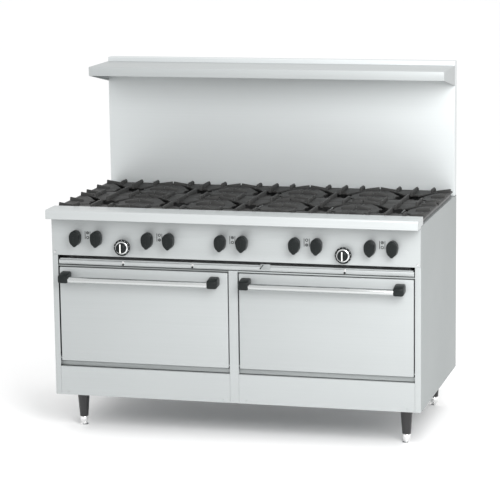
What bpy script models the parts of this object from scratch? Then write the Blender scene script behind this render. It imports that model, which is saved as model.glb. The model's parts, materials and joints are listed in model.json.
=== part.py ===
"""Commercial gas range: ten open burners over two drop-door ovens, with a backguard and a high shelf.

Metres. X runs left to right as the cook sees it, Y from front to back, Z up from the floor.
The middle of the range in X and Y is the origin.
"""
import math

import bmesh
import bpy
from mathutils import Matrix, Vector

# Overall sizes
WIDTH = 1.500
DEPTH = 0.876
HEIGHT = 1.448
RAIL_DEPTH = 0.070            # how far the front rail stands out from the body

# Heights, stacked from the floor
LEG_HEIGHT = 0.152
KICK_HEIGHT = 0.117
SILL_HEIGHT = 0.0235
DOOR_HEIGHT = 0.3845
HEADER_HEIGHT = 0.012
TRAY_FRONT_HEIGHT = 0.019
SHADOW_GAP = 0.0185
PANEL_HEIGHT = 0.155
SIDE_RISE = 0.0045            # side panels stand this much above the control panel
LEDGE_RISE = 0.019            # the grate ledge above the side panels
RAIL_HEIGHT = 0.0375
RAIL_NOSE = 0.008             # radius of the rail's front edge
RAIL_LIP = 0.018              # the rail's sheet is folded back this far under its front

# Sheet and clearances
SHEET = 0.0015
FRAME_SHEET = 0.002
GAP = 0.0003                  # between pieces that touch
RUN = 0.0005                  # round a turning pin, on the radius

# Front
FLANGE = 0.0235               # front flange of a side panel
TOP_FLANGE = 0.012
STILE = 0.036
STILE_DEPTH = 0.030
DOOR_SIDE_GAP = 0.005
DOOR_DEPTH = 0.040
LINER_DEPTH = 0.004
LINER_CROWN = 0.006
LINER_BORDER = (0.055, 0.040) # flat border round the liner's crown
LINER_SLOPE = 0.012
HINGE_INSET = 0.010           # from the door's front and from its lower edge
HINGE_PIN = 0.004
HINGE_REACH = 0.008           # pin inside its pocket
HINGE_BLOCK_RISE = 0.010      # hinge block above the pin's middle
SILL_CLEARANCE = 0.004        # room over the sill for the door's lower corner as it swings
SILL_SETBACK = 0.016
KICK_RETURN = 0.015

# Handles
BAR_RADIUS = 0.0125
BAR_DROP = 0.043              # bar centre below the door's top
BAR_STANDOFF = 0.042          # bar centre in front of the door
BRACKET_WIDTH = 0.042
BRACKET_NOSE = 0.004          # bracket in front of the bar
BRACKET_TOP = (0.0135, 0.024) # below the door's top, at the door and at the bracket's front
BRACKET_LOW = (0.052, 0.057)
BRACKET_INSET = (0.010, 0.030)    # from the door's left edge and from its right edge
BRACKET_POCKET = 0.025        # how far the bar goes into a bracket

# Crumb tray
TRAY_FRONT_DEPTH = 0.008
TRAY_BULGE = 0.005
TRAY_WALL = 0.020
TRAY_SIDE_GAP = 0.050
TRAY_REAR_GAP = 0.070

# Ovens
OVEN_SIDE_GAP = 0.019         # from the oven's outside to the stile and the side
OVEN_TOP_GAP = 0.030
OVEN_FLOOR_GAP = 0.018
OVEN_REAR_GAP = 0.135
DOOR_CLEARANCE = 0.003        # between the door's back and the oven's face
RACK_RISE = 0.130
RACK_SIDE_GAP = 0.005
RACK_WIRE = 0.005
RACK_ROD = 0.008
RACK_WIRES = 9
GUIDE = (0.014, 0.003)

# Top section
SECTIONS = 5
GRATE_FRONT = 0.050           # grates start this far behind the body's front
GRATE_REAR = 0.030            # and end this far before the backguard
GRATE_SPLIT = 0.002
GRATE_HEIGHT = 0.0215
GRATE_FRAME = (0.012, 0.008)  # width and height of a grate's outer frame
RIB = 0.011
RIB_SPREAD = (0.485, 0.795)   # outer ribs from the middle one, as shares of the half width and the half depth
RIB_END = 0.404               # length of an outer rib, as a share of the half width
RIB_INTO_HOLE = 0.034         # the long ribs end this far from the middle of the flame hole
GRATE_HOLE = 0.062
GRATE_SLOT = 0.014            # width of the four corner slots
GRATE_SLOT_REACH = 0.745      # of the way from the middle of the grate to its corner
BOWL_DROP = 0.010
BOWL_SHEET = 0.005
CROSS_BAR = 0.016             # depth of the bar under the joint between the grates
LEDGE = 0.020
BURNER_BOX_DEPTH = 0.180
BURNER_RADIUS = 0.045
BURNER_BELOW = 0.021          # burner top below the grate ledge
BURNER_HEIGHT = 0.034
BURNER_REST = 0.006           # thickness of the bar that carries the burners
VENTURI = 0.012
VENTURI_SPREAD = 0.024

# Controls
KNOB_RADIUS = 0.0220
KNOB_CROWN = 1.20             # the egg's upper half is this much taller than round
KNOB_FALL = 1.60              # and its lower half
KNOB_NOSE = 0.041             # from the knob's axis to the tip of its pointer
KNOB_TIP = 0.0095
KNOB_POINTS = 16
KNOB_DEPTH = 0.036
KNOB_SPREAD = 0.044
KNOB_DROP = 0.0755            # below the control panel's top
KNOB_OFF_PANEL = 0.012
DIAL_RADIUS = 0.033
DIAL_SKIRT = 0.028
DIAL_GRIP = 0.0215
DIAL_RING = (0.018, 0.024)    # where the dial's ring starts and ends, from the dial's back
DIAL_DEPTH = 0.046
DIAL_DROP = 0.1135
DIAL_OFF_PANEL = 0.0015
STEM = 0.004
STEM_CLEARANCE = 0.002
STEM_LENGTH = 0.012           # dial stem behind the panel's front

# Gas pipe
PIPE_RADIUS = 0.01335
PIPE_SETBACK = 0.023
INLET_BORE = 0.0105
INLET_BORE_DEPTH = 0.030
VALVE = 0.018                 # a valve body's width and height
INLET_DROP = 0.022            # the rear run below the burner box

# Backguard and shelf
FLUE_DEPTH = 0.045
SHELF_DEPTH = 0.2575
SHELF_DROP = 0.018            # shelf top below the backguard's top
SHELF_LIP = 0.038
GUSSET = 0.085

# Legs
LEG_INSET_X = 0.078
LEG_FRONT = 0.112
LEG_REAR = 0.080
LEG_TOP = 0.0255
LEG_BOTTOM = 0.0175
LEG_PLATE = 0.045
LEG_PLATE_THICK = 0.003
FOOT_SHOWING = 0.036
FOOT_FLANGE = 0.0178
FOOT_STUD = 0.006
FOOT_STUD_LENGTH = 0.025

# Places that follow from the sizes
HALF = WIDTH / 2
FRONT = -DEPTH / 2 + RAIL_DEPTH
REAR = DEPTH / 2
BASE = LEG_HEIGHT
KICK_TOP = BASE + KICK_HEIGHT
DOOR_LOW = KICK_TOP + SILL_HEIGHT
DOOR_TOP = DOOR_LOW + DOOR_HEIGHT
TRAY_LOW = DOOR_TOP + HEADER_HEIGHT
TRAY_TOP = TRAY_LOW + TRAY_FRONT_HEIGHT
PANEL_LOW = TRAY_TOP + SHADOW_GAP
PANEL_TOP = PANEL_LOW + PANEL_HEIGHT
SIDE_TOP = PANEL_TOP + SIDE_RISE
DECK = SIDE_TOP + LEDGE_RISE
RAIL_TOP = PANEL_TOP + RAIL_HEIGHT
INSIDE = HALF - SHEET - GAP
BOX_SIDE = HALF - TOP_FLANGE - GAP
GUARD_FRONT = REAR - FLUE_DEPTH
GRATES_FRONT = FRONT + GRATE_FRONT
GRATES_REAR = GUARD_FRONT - GRATE_REAR
PITCH = (WIDTH - 2 * GRATE_SPLIT) / SECTIONS
GRATE_X = PITCH - GRATE_SPLIT
GRATE_Y = (GRATES_REAR - GRATES_FRONT - GRATE_SPLIT) / 2
BOX_FRONT = GRATES_FRONT - 2 * FRAME_SHEET
BOX_REAR = GRATES_REAR + 4 * FRAME_SHEET
BOX_LOW = DECK - BURNER_BOX_DEPTH
DOOR_INNER = STILE / 2 + DOOR_SIDE_GAP
DOOR_OUTER = HALF - FLANGE - DOOR_SIDE_GAP
HINGE_Y = FRONT + HINGE_INSET
HINGE_Z = DOOR_LOW + HINGE_INSET
OVEN_FACE = FRONT + DOOR_DEPTH + LINER_DEPTH + LINER_CROWN + DOOR_CLEARANCE
KNOB_Z = PANEL_TOP - KNOB_DROP
DIAL_Z = PANEL_TOP - DIAL_DROP
BAR_Y = FRONT - BAR_STANDOFF
BRACKET_FRONT = BAR_Y - BAR_RADIUS - BRACKET_NOSE
BAR_Z = DOOR_TOP - BAR_DROP
GRATES_MIDDLE = (GRATES_FRONT + GRATES_REAR) / 2
GRATE_SHIFT = (GRATE_Y + GRATE_SPLIT) / 2
PIPE_Y = FRONT + PIPE_SETBACK
PANEL_RETURN = PIPE_SETBACK - PIPE_RADIUS - FRAME_SHEET
INLET_X = INSIDE - PIPE_RADIUS - GAP
INLET_Z = BOX_LOW - INLET_DROP

for old in list(bpy.data.objects):
    bpy.data.objects.remove(old, do_unlink=True)


# ---- materials ------------------------------------------------------------

def material(name, colour, roughness, metallic):
    made = bpy.data.materials.new(name)
    made.use_nodes = True
    shader = made.node_tree.nodes["Principled BSDF"]
    shader.inputs["Base Color"].default_value = (*colour, 1.0)
    shader.inputs["Roughness"].default_value = roughness
    shader.inputs["Metallic"].default_value = metallic
    return made


STAINLESS = material("stainless_steel", (0.66, 0.67, 0.67), 0.32, 1.0)
SIDE_STEEL = material("side_steel", (0.50, 0.51, 0.51), 0.42, 1.0)
GALVANISED = material("galvanised_steel", (0.42, 0.43, 0.43), 0.55, 1.0)
CAST_IRON = material("cast_iron", (0.045, 0.045, 0.045), 0.65, 0.3)
ENAMEL = material("oven_enamel", (0.05, 0.055, 0.06), 0.25, 0.0)
BLACK_PLASTIC = material("black_plastic", (0.018, 0.02, 0.02), 0.35, 0.0)
BRIGHT = material("bright_metal", (0.80, 0.80, 0.80), 0.15, 1.0)
LEG_BLACK = material("leg_black", (0.02, 0.02, 0.02), 0.4, 0.0)
PIPE_STEEL = material("pipe_steel", (0.20, 0.20, 0.20), 0.5, 1.0)


# ---- shapes ---------------------------------------------------------------

def block(low, high):
    """A box between two corners."""
    shape = bmesh.new()
    size = [high[i] - low[i] for i in range(3)]
    middle = [(high[i] + low[i]) / 2 for i in range(3)]
    place = Matrix.Translation(middle) @ Matrix.Diagonal((*size, 1.0))
    bmesh.ops.create_cube(shape, size=1.0, matrix=place)
    return shape


def rod(start, end, radius, sides=16):
    """A round bar between two points."""
    shape = bmesh.new()
    along = Vector(end) - Vector(start)
    turn = along.to_track_quat("Z", "Y").to_matrix().to_4x4()
    place = Matrix.Translation((Vector(start) + Vector(end)) / 2) @ turn
    bmesh.ops.create_cone(shape, cap_ends=True, segments=sides, radius1=radius, radius2=radius,
                          depth=along.length, matrix=place)
    return shape


def turned(profile, sides=20, closed=False):
    """A solid of revolution about Z through (radius, height) points."""
    shape = bmesh.new()
    points = [shape.verts.new((radius, 0.0, height)) for radius, height in profile]
    lines = [shape.edges.new(pair) for pair in zip(points, points[1:])]
    if closed:
        lines.append(shape.edges.new((points[-1], points[0])))
    bmesh.ops.spin(shape, geom=points + lines, cent=(0, 0, 0), axis=(0, 0, 1), dvec=(0, 0, 0),
                   angle=2 * math.pi, steps=sides, use_merge=True, use_duplicate=False)
    bmesh.ops.remove_doubles(shape, verts=shape.verts, dist=1e-6)
    bmesh.ops.recalc_face_normals(shape, faces=shape.faces)
    return shape


def lofted(loops, closed=False):
    """A solid through loops with the same number of points, capped at both ends or closed on itself."""
    shape = bmesh.new()
    rings = [[shape.verts.new(point) for point in loop] for loop in loops]
    pairs = list(zip(rings, rings[1:]))
    if closed:
        pairs.append((rings[-1], rings[0]))
    for lower, upper in pairs:
        count = len(lower)
        for i in range(count):
            j = (i + 1) % count
            shape.faces.new((lower[i], lower[j], upper[j], upper[i]))
    if not closed:
        shape.faces.new(rings[0])
        shape.faces.new(rings[-1])
    bmesh.ops.recalc_face_normals(shape, faces=shape.faces)
    return shape


def prism_x(outline, low, high):
    """An outline of (y, z) points carried along X."""
    return lofted([[(low, y, z) for y, z in outline], [(high, y, z) for y, z in outline]])


def prism_y(outline, low, high):
    """An outline of (x, z) points carried along Y."""
    return lofted([[(x, low, z) for x, z in outline], [(x, high, z) for x, z in outline]])


def moved(shape, place):
    shape.transform(place)
    return shape


def together(shapes):
    """Several shapes that don't touch, as one mesh."""
    whole = bmesh.new()
    for shape in shapes:
        scratch = bpy.data.meshes.new("scratch")
        shape.to_mesh(scratch)
        shape.free()
        whole.from_mesh(scratch)
        bpy.data.meshes.remove(scratch)
    return whole


def new_object(name, shape, finish=None):
    mesh = bpy.data.meshes.new(name)
    shape.to_mesh(mesh)
    shape.free()
    made = bpy.data.objects.new(name, mesh)
    bpy.context.scene.collection.objects.link(made)
    if finish:
        mesh.materials.append(finish)
    return made


def node(name, finish, first, trim=(), joined=(), cut=(), added=(), drilled=(), origin=(0, 0, 0),
         smooth=False):
    """One sub-part: its first solid trimmed, joined with more, cut, added to and drilled, in that order."""
    back = Matrix.Translation(-Vector(origin))
    made = new_object(name, moved(first, back), finish)
    steps = [("INTERSECT", shape) for shape in trim] + [("UNION", shape) for shape in joined]
    steps += [("DIFFERENCE", shape) for shape in cut] + [("UNION", shape) for shape in added]
    steps += [("DIFFERENCE", shape) for shape in drilled]
    for number, (operation, shape) in enumerate(steps):
        tool = new_object(f"{name}_tool_{number}", moved(shape, back), finish)
        tool.location = origin
        tool.hide_render = True
        tool.display_type = "WIRE"
        step = made.modifiers.new(f"{operation.lower()}_{number}", "BOOLEAN")
        step.operation = operation
        step.solver = "EXACT"
        step.object = tool
    made.location = origin
    if smooth:
        made.data.shade_smooth()
        made.data.set_sharp_from_angle(angle=math.radians(35))
    return made


def arc(centre, radius, start, end, steps):
    """Points on an arc, angles in degrees."""
    angles = [math.radians(start + (end - start) * i / steps) for i in range(steps + 1)]
    return [(centre[0] + radius * math.cos(a), centre[1] + radius * math.sin(a)) for a in angles]


def section_x(number):
    return (number - (SECTIONS - 1) / 2) * PITCH


# ---- body -----------------------------------------------------------------

def body_frame():
    """The welded frame: bottom pan, back, burner box, stile, header, sill and hinge blocks."""
    near_y = FRONT + 2 * SHEET
    far_y = FRONT + STILE_DEPTH - FRAME_SHEET
    box = block((-BOX_SIDE, BOX_FRONT, BOX_LOW), (BOX_SIDE, BOX_REAR, DECK))
    box_inside = block((-BOX_SIDE + FRAME_SHEET, BOX_FRONT + FRAME_SHEET, BOX_LOW - FRAME_SHEET),
                       (BOX_SIDE - FRAME_SHEET, BOX_REAR - FRAME_SHEET, DECK - FRAME_SHEET))
    box_mouth = block((-BOX_SIDE + LEDGE, BOX_FRONT + LEDGE, DECK - 2 * FRAME_SHEET),
                      (BOX_SIDE - LEDGE, BOX_REAR - LEDGE, DECK + FRAME_SHEET))
    cross_bar = block((-BOX_SIDE + GAP, GRATES_MIDDLE - LEDGE / 2, DECK - CROSS_BAR),
                      (BOX_SIDE - GAP, GRATES_MIDDLE + LEDGE / 2, DECK - GAP))
    rest_z = DECK - BURNER_BELOW - BURNER_HEIGHT - VENTURI - GAP
    rest_y = GRATES_MIDDLE + BURNER_RADIUS
    burner_rest = block((-BOX_SIDE + GAP, rest_y, rest_z - BURNER_REST),
                        (BOX_SIDE - GAP, rest_y + LEDGE, rest_z))
    tie_z = SIDE_TOP - LEDGE_RISE
    box_tie = block((-BOX_SIDE + LEDGE, BOX_REAR - FRAME_SHEET / 2, tie_z),
                    (BOX_SIDE - LEDGE, REAR - FRAME_SHEET / 2, tie_z + FRAME_SHEET))
    back = block((-INSIDE, REAR - FRAME_SHEET, BASE), (INSIDE, REAR, SIDE_TOP - GAP))
    pan = block((-INSIDE, near_y, BASE), (INSIDE, REAR, BASE + FRAME_SHEET))
    stile = block((-STILE / 2, FRONT, BASE + GAP), (STILE / 2, FRONT + STILE_DEPTH, TRAY_LOW - FRAME_SHEET))
    header = block((-INSIDE, near_y, DOOR_TOP + 2 * FRAME_SHEET),
                   (INSIDE, far_y, TRAY_LOW - 1.5 * FRAME_SHEET))
    sill = block((-INSIDE, FRONT + SILL_SETBACK, KICK_TOP + FRAME_SHEET),
                 (INSIDE, far_y, DOOR_LOW - SILL_CLEARANCE))
    block_in = DOOR_OUTER + DOOR_SIDE_GAP
    low_z = KICK_TOP + SILL_HEIGHT / 2
    high_z = HINGE_Z + HINGE_BLOCK_RISE
    hinge_blocks = together([
        block((block_in, near_y, low_z), (INSIDE - GAP, far_y + SHEET, high_z)),
        block((-INSIDE + GAP, near_y, low_z), (-block_in, far_y + SHEET, high_z))])
    pocket = HINGE_REACH + FRAME_SHEET
    pockets = []
    for side in (-1, 1):
        for start, reach in ((block_in, pocket), (STILE / 2, -pocket)):
            pockets.append(rod((side * (start - math.copysign(GAP, reach)), HINGE_Y, HINGE_Z),
                               (side * (start + reach), HINGE_Y, HINGE_Z), HINGE_PIN + RUN, 12))
    pipe_hole = rod((INLET_X, REAR - LEDGE, INLET_Z), (INLET_X, REAR + LEDGE, INLET_Z), PIPE_RADIUS + 2 * RUN)
    node("body_frame", GALVANISED, box, cut=[box_inside, box_mouth],
         added=[cross_bar, burner_rest, box_tie, back, pan, stile, header, sill, hinge_blocks],
         drilled=[together(pockets), pipe_hole])


def side_panel(name, side):
    """A folded side: outer sheet, front flange and the narrow flange along its top."""
    def across(inner, outer, low, high):
        near, far = sorted((side * inner, side * outer))
        return block((near, low[0], low[1]), (far, high[0], high[1]))
    sheet = across(HALF - SHEET, HALF, (FRONT, BASE), (REAR, SIDE_TOP))
    flange = across(HALF - FLANGE, HALF - SHEET / 2, (FRONT, BASE), (FRONT + SHEET, PANEL_LOW - GAP))
    top = across(HALF - TOP_FLANGE, HALF - SHEET / 2, (BOX_FRONT, SIDE_TOP - SHEET), (GUARD_FRONT, SIDE_TOP))
    node(name, SIDE_STEEL, sheet, joined=[flange, top])


def control_panel():
    """The folded front panel, with a hole for each stem."""
    outline = [(FRONT, PANEL_LOW), (FRONT, PANEL_TOP - GAP), (FRONT + SHEET, PANEL_TOP - GAP),
               (FRONT + SHEET, PANEL_LOW + SHEET), (FRONT + PANEL_RETURN, PANEL_LOW + SHEET),
               (FRONT + PANEL_RETURN, PANEL_LOW)]
    hole = STEM + STEM_CLEARANCE
    places = [(x, KNOB_Z) for x in knob_places()] + [(x, DIAL_Z) for x in dial_places()]
    holes = [rod((x, FRONT - SHEET, z), (x, FRONT + 3 * SHEET, z), hole, 8) for x, z in places]
    node("control_panel", STAINLESS, prism_x(outline, -INSIDE, INSIDE), cut=[together(holes)])


def front_rail():
    """The bullnose ledge: a folded sheet, closed at its ends and open underneath."""
    front, low, rear = -DEPTH / 2, PANEL_TOP, BOX_FRONT - 2 * FRAME_SHEET
    step = FRONT - SHEET
    nose = (front + RAIL_NOSE, RAIL_TOP - RAIL_NOSE)
    outer = [(front, low)] + arc(nose, RAIL_NOSE, 180, 90, 4) + [(rear, RAIL_TOP), (rear, SIDE_TOP + GAP),
                                                                (step, SIDE_TOP + GAP), (step, low)]
    lip = front + RAIL_LIP
    below = low - LEDGE
    inner = [(front + SHEET, low + SHEET)] + arc(nose, RAIL_NOSE - SHEET, 180, 90, 4)
    inner += [(rear - SHEET, RAIL_TOP - SHEET), (rear - SHEET, below), (lip, below), (lip, low + SHEET)]
    hollow = prism_x(inner, -HALF + SHEET, HALF - SHEET)
    node("front_rail", STAINLESS, prism_x(outer, -HALF, HALF), cut=[hollow])


def kick_panel(name, side):
    outline = [(FRONT, BASE), (FRONT, KICK_TOP), (FRONT + KICK_RETURN, KICK_TOP),
               (FRONT + KICK_RETURN, KICK_TOP - SHEET), (FRONT + SHEET, KICK_TOP - SHEET),
               (FRONT + SHEET, BASE)]
    ends = sorted((side * (STILE / 2 + 2 * GAP), side * (HALF - FLANGE - 2 * GAP)))
    node(name, STAINLESS, prism_x(outline, *ends))


def backguard():
    """The tall rear guard: a folded sheet open at the back, which the flue runs up behind."""
    low = SIDE_TOP + GAP
    whole = block((-HALF, GUARD_FRONT, low), (HALF, REAR, HEIGHT))
    inside = block((-HALF + SHEET, GUARD_FRONT + SHEET, low - SHEET),
                   (HALF - SHEET, REAR + SHEET, HEIGHT - SHEET))
    node("backguard", STAINLESS, whole, cut=[inside])


def high_shelf():
    """The shelf with its front lip and its two tapered end gussets, in one folded piece."""
    rear = GUARD_FRONT - GAP
    front = rear - SHELF_DEPTH
    top = HEIGHT - SHELF_DROP
    outer = [(front, top - SHELF_LIP), (front, top), (rear, top), (rear, top - GUSSET)]
    slope = (GUSSET - SHELF_LIP) / SHELF_DEPTH
    reach = 0.02
    inner = [(front + SHEET, top - SHELF_LIP - reach), (front + SHEET, top - SHEET),
             (rear + reach, top - SHEET), (rear + reach, top - GUSSET - slope * reach - reach)]
    hollow = prism_x(inner, -HALF + SHEET, HALF - SHEET)
    node("high_shelf", STAINLESS, prism_x(outer, -HALF, HALF), cut=[hollow])


# ---- legs -----------------------------------------------------------------

def leg(name, x, y):
    top = BASE - GAP
    low = FOOT_SHOWING + GAP
    bore = FOOT_STUD + 2 * RUN
    end = FOOT_SHOWING + FOOT_STUD_LENGTH + 2 * FRAME_SHEET
    cone = turned([(0, end), (bore, end), (bore, low), (LEG_BOTTOM, low),
                   (LEG_TOP, top - LEG_PLATE_THICK / 2), (0, top - LEG_PLATE_THICK / 2)], 14)
    plate = block((x - LEG_PLATE, y - LEG_PLATE, top - LEG_PLATE_THICK), (x + LEG_PLATE, y + LEG_PLATE, top))
    cone = moved(cone, Matrix.Translation((x, y, 0)))
    node(name, LEG_BLACK, plate, joined=[cone], origin=(x, y, 0), smooth=True)


def foot(name, x, y):
    top = FOOT_SHOWING
    neck = LEG_BOTTOM * 0.72
    shape = turned([(0, 0), (FOOT_FLANGE, 0), (FOOT_FLANGE, 0.004), (neck, 0.007), (neck, 0.011),
                    (LEG_BOTTOM * 0.95, 0.013), (LEG_BOTTOM * 0.95, top), (FOOT_STUD, top),
                    (FOOT_STUD, top + FOOT_STUD_LENGTH), (0, top + FOOT_STUD_LENGTH)], 12)
    node(name, BRIGHT, moved(shape, Matrix.Translation((x, y, 0))), origin=(x, y, 0), smooth=True)


# ---- doors ----------------------------------------------------------------

def door(name, side):
    """A drop door: outer shell with its hinge pins, liner, two handle brackets and the bar."""
    left, right = sorted((side * DOOR_INNER, side * DOOR_OUTER))
    hinge = ((left + right) / 2, HINGE_Y, HINGE_Z)
    back = FRONT + DOOR_DEPTH
    shell = block((left, FRONT, DOOR_LOW), (right, back, DOOR_TOP))
    hollow = block((left + SHEET, FRONT + SHEET, DOOR_LOW + SHEET),
                   (right - SHEET, back + SHEET, DOOR_TOP - SHEET))
    reach = DOOR_SIDE_GAP + HINGE_REACH
    spans = ((left - reach, left + SHEET / 2), (right - SHEET / 2, right + reach))
    pins = together([rod((start, HINGE_Y, HINGE_Z), (end, HINGE_Y, HINGE_Z), HINGE_PIN, 12)
                     for start, end in spans])
    node(f"{name}_shell", STAINLESS, shell, cut=[hollow], added=[pins], origin=hinge)

    def ring(slope, y):
        across, up = LINER_BORDER[0] + slope, LINER_BORDER[1] + slope
        return [(left + across, y, DOOR_LOW + up), (right - across, y, DOOR_LOW + up),
                (right - across, y, DOOR_TOP - up), (left + across, y, DOOR_TOP - up)]
    plate = block((left, back + GAP, DOOR_LOW), (right, back + LINER_DEPTH, DOOR_TOP))
    crown = lofted([ring(0, back + LINER_DEPTH / 2), ring(LINER_SLOPE, back + LINER_DEPTH + LINER_CROWN)])
    node(f"{name}_liner", ENAMEL, plate, joined=[crown], origin=hinge)

    bar_ends = []
    for word, end, inward in (("left", left + BRACKET_INSET[0], 1), ("right", right - BRACKET_INSET[1], -1)):
        inner_end = end + inward * BRACKET_WIDTH
        bar_ends.append(inner_end - inward * BRACKET_POCKET)
        handle_bracket(f"{name}_bracket_{word}", end, inner_end, bar_ends[-1], hinge)
    bar = rod((bar_ends[0] + GAP, BAR_Y, BAR_Z), (bar_ends[1] - GAP, BAR_Y, BAR_Z), BAR_RADIUS, 20)
    node(f"{name}_handle_bar", BRIGHT, bar, origin=hinge, smooth=True)


def handle_bracket(name, end, inner_end, bar_end, hinge):
    """A moulded end bracket on the door, with the pocket that the bar's end goes into."""
    outline = [(FRONT - GAP, DOOR_TOP - BRACKET_TOP[0]), (BRACKET_FRONT, DOOR_TOP - BRACKET_TOP[1]),
               (BRACKET_FRONT, DOOR_TOP - BRACKET_LOW[1]), (FRONT - GAP, DOOR_TOP - BRACKET_LOW[0])]
    mouth = inner_end + math.copysign(SHEET, inner_end - end)
    pocket = rod((bar_end, BAR_Y, BAR_Z), (mouth, BAR_Y, BAR_Z), BAR_RADIUS + GAP, 20)
    node(name, BLACK_PLASTIC, prism_x(outline, *sorted((end, inner_end))), cut=[pocket], origin=hinge)


# ---- tray and ovens -------------------------------------------------------

def crumb_tray():
    """The full-width crumb tray, with the rounded strip that shows under the controls."""
    side = HALF - TRAY_SIDE_GAP
    strip_x = HALF - FLANGE - 2 * FRAME_SHEET
    back = FRONT + TRAY_FRONT_DEPTH
    mid, half = (TRAY_LOW + TRAY_TOP) / 2, TRAY_FRONT_HEIGHT / 2
    bow = [(FRONT + TRAY_BULGE * (1 - math.cos(math.radians(a))), mid + half * math.sin(math.radians(a)))
           for a in range(-90, 91, 30)]
    strip = prism_x(bow + [(back, TRAY_TOP), (back, TRAY_LOW)], -strip_x, strip_x)
    floor = TRAY_LOW + FRAME_SHEET
    pan = block((-side, back - SHEET, floor), (side, BOX_REAR - TRAY_REAR_GAP, floor + TRAY_WALL))
    hollow = block((-side + SHEET, back + SHEET, floor + SHEET),
                   (side - SHEET, BOX_REAR - TRAY_REAR_GAP - SHEET, floor + TRAY_WALL + SHEET))
    node("crumb_tray", STAINLESS, pan, joined=[strip], cut=[hollow])


def oven_span(side):
    inner = STILE / 2 + OVEN_SIDE_GAP
    outer = INSIDE - OVEN_SIDE_GAP - FLANGE
    return sorted((side * inner, side * outer))


def oven(name, side):
    """An enamelled oven box with its face frame and the rack guides on its walls."""
    left, right = oven_span(side)
    low, high = DOOR_LOW + OVEN_FLOOR_GAP, DOOR_TOP - OVEN_TOP_GAP
    rear = REAR - OVEN_REAR_GAP
    whole = block((left, OVEN_FACE, low), (right, rear, high))
    inside = block((left + FRAME_SHEET, OVEN_FACE - LEDGE, low + FRAME_SHEET),
                   (right - FRAME_SHEET, rear - FRAME_SHEET, high - FRAME_SHEET))
    face_left, face_right = sorted((side * (STILE / 2 + GAP), side * (INSIDE - GAP)))
    face = block((face_left, OVEN_FACE, DOOR_LOW), (face_right, OVEN_FACE + FRAME_SHEET, DOOR_TOP))
    guide_z = low + RACK_RISE
    start, end = OVEN_FACE + 2 * LEDGE, rear - FRAME_SHEET / 2
    near, far = FRAME_SHEET / 2, FRAME_SHEET + GUIDE[0]
    guides = together([block((low_x, start, guide_z), (high_x, end, guide_z + GUIDE[1]))
                       for low_x, high_x in ((left + near, left + far), (right - far, right - near))])
    node(name, ENAMEL, whole, joined=[face], cut=[inside], added=[guides])


def oven_rack(name, side):
    """A wire rack lying on the guides."""
    left, right = oven_span(side)
    left += FRAME_SHEET + RACK_SIDE_GAP
    right -= FRAME_SHEET + RACK_SIDE_GAP
    front = OVEN_FACE + LEDGE
    rear = REAR - OVEN_REAR_GAP - FRAME_SHEET - LEDGE
    low = DOOR_LOW + OVEN_FLOOR_GAP + RACK_RISE + GUIDE[1] + GAP
    high = low + RACK_ROD
    whole = block((left, front, low), (right, rear, high))
    hole = block((left + RACK_ROD, front + RACK_ROD, low - SHEET),
                 (right - RACK_ROD, rear - RACK_ROD, high + SHEET))
    step_x = (right - left - RACK_ROD) / (RACK_WIRES + 1)
    wires = []
    for number in range(RACK_WIRES):
        x = left + RACK_ROD / 2 + step_x * (number + 1)
        wires.append(block((x - RACK_WIRE / 2, front + RACK_ROD / 2, high - RACK_WIRE),
                           (x + RACK_WIRE / 2, rear - RACK_ROD / 2, high - GAP)))
    node(name, BRIGHT, whole, cut=[hole], added=[together(wires)])


# ---- top section ----------------------------------------------------------

def grate(name, x, y):
    """A cast grate: outer frame, dished plates round the flame hole, corner slots, two long ribs and ten short."""
    low = DECK + GAP
    half_x, half_y = GRATE_X / 2, GRATE_Y / 2
    bar = GRATE_FRAME[0]

    def rectangle(inset, z):
        across, along = half_x - inset, half_y - inset
        return [(x - across, y - along, z), (x + across, y - along, z), (x + across, y + along, z),
                (x - across, y + along, z)]
    frame_top = low + GRATE_FRAME[1]
    frame = lofted([rectangle(0, low), rectangle(0, frame_top), rectangle(bar, frame_top),
                    rectangle(bar, low)], closed=True)

    plate = low + SHEET
    rim = math.hypot(half_x, half_y)
    bend = min(half_x, half_y) - TOP_FLANGE - LEDGE - SHEET
    bowl = turned([(GRATE_HOLE, plate - BOWL_DROP), (bend, plate), (rim, plate), (rim, plate + BOWL_SHEET),
                   (bend, plate + BOWL_SHEET), (GRATE_HOLE, plate - BOWL_DROP + BOWL_SHEET)], 16, closed=True)
    trim = block((x - half_x + bar / 2, y - half_y + bar / 2, low - bar),
                 (x + half_x - bar / 2, y + half_y - bar / 2, frame_top + bar))
    slot_end = rim * GRATE_SLOT_REACH
    slots = []
    for side in (-1, 1):
        lean = math.atan2(half_y, side * half_x)
        for turn in (lean, lean + math.pi):
            slot = block((GRATE_HOLE / 2, -GRATE_SLOT / 2, low - bar), (slot_end, GRATE_SLOT / 2, frame_top))
            slots.append(moved(slot, Matrix.Translation((x, y, 0)) @ Matrix.Rotation(turn, 4, "Z")))

    rib_low, top = low + GAP, low + GRATE_HEIGHT
    spread_x, spread_y = RIB_SPREAD[0] * half_x, RIB_SPREAD[1] * half_y
    short = RIB_END * half_x
    ribs = []
    for sign in (-1, 1):
        for offset in (-spread_x, 0, spread_x):
            length = short if offset else half_y - RIB_INTO_HOLE
            ends = sorted((y + sign * (half_y - SHEET / 2), y + sign * (half_y - length)))
            ribs.append(block((x + offset - RIB / 2, ends[0], rib_low), (x + offset + RIB / 2, ends[1], top)))
        for offset in (-spread_y, 0, spread_y):
            ends = sorted((x + sign * (half_x - SHEET / 2), x + sign * (half_x - short)))
            ribs.append(block((ends[0], y + offset - RIB / 2, rib_low), (ends[1], y + offset + RIB / 2, top)))
    node(name, CAST_IRON, moved(bowl, Matrix.Translation((x, y, 0))), trim=[trim], cut=[together(slots)],
         added=[frame, together(ribs)])


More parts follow.
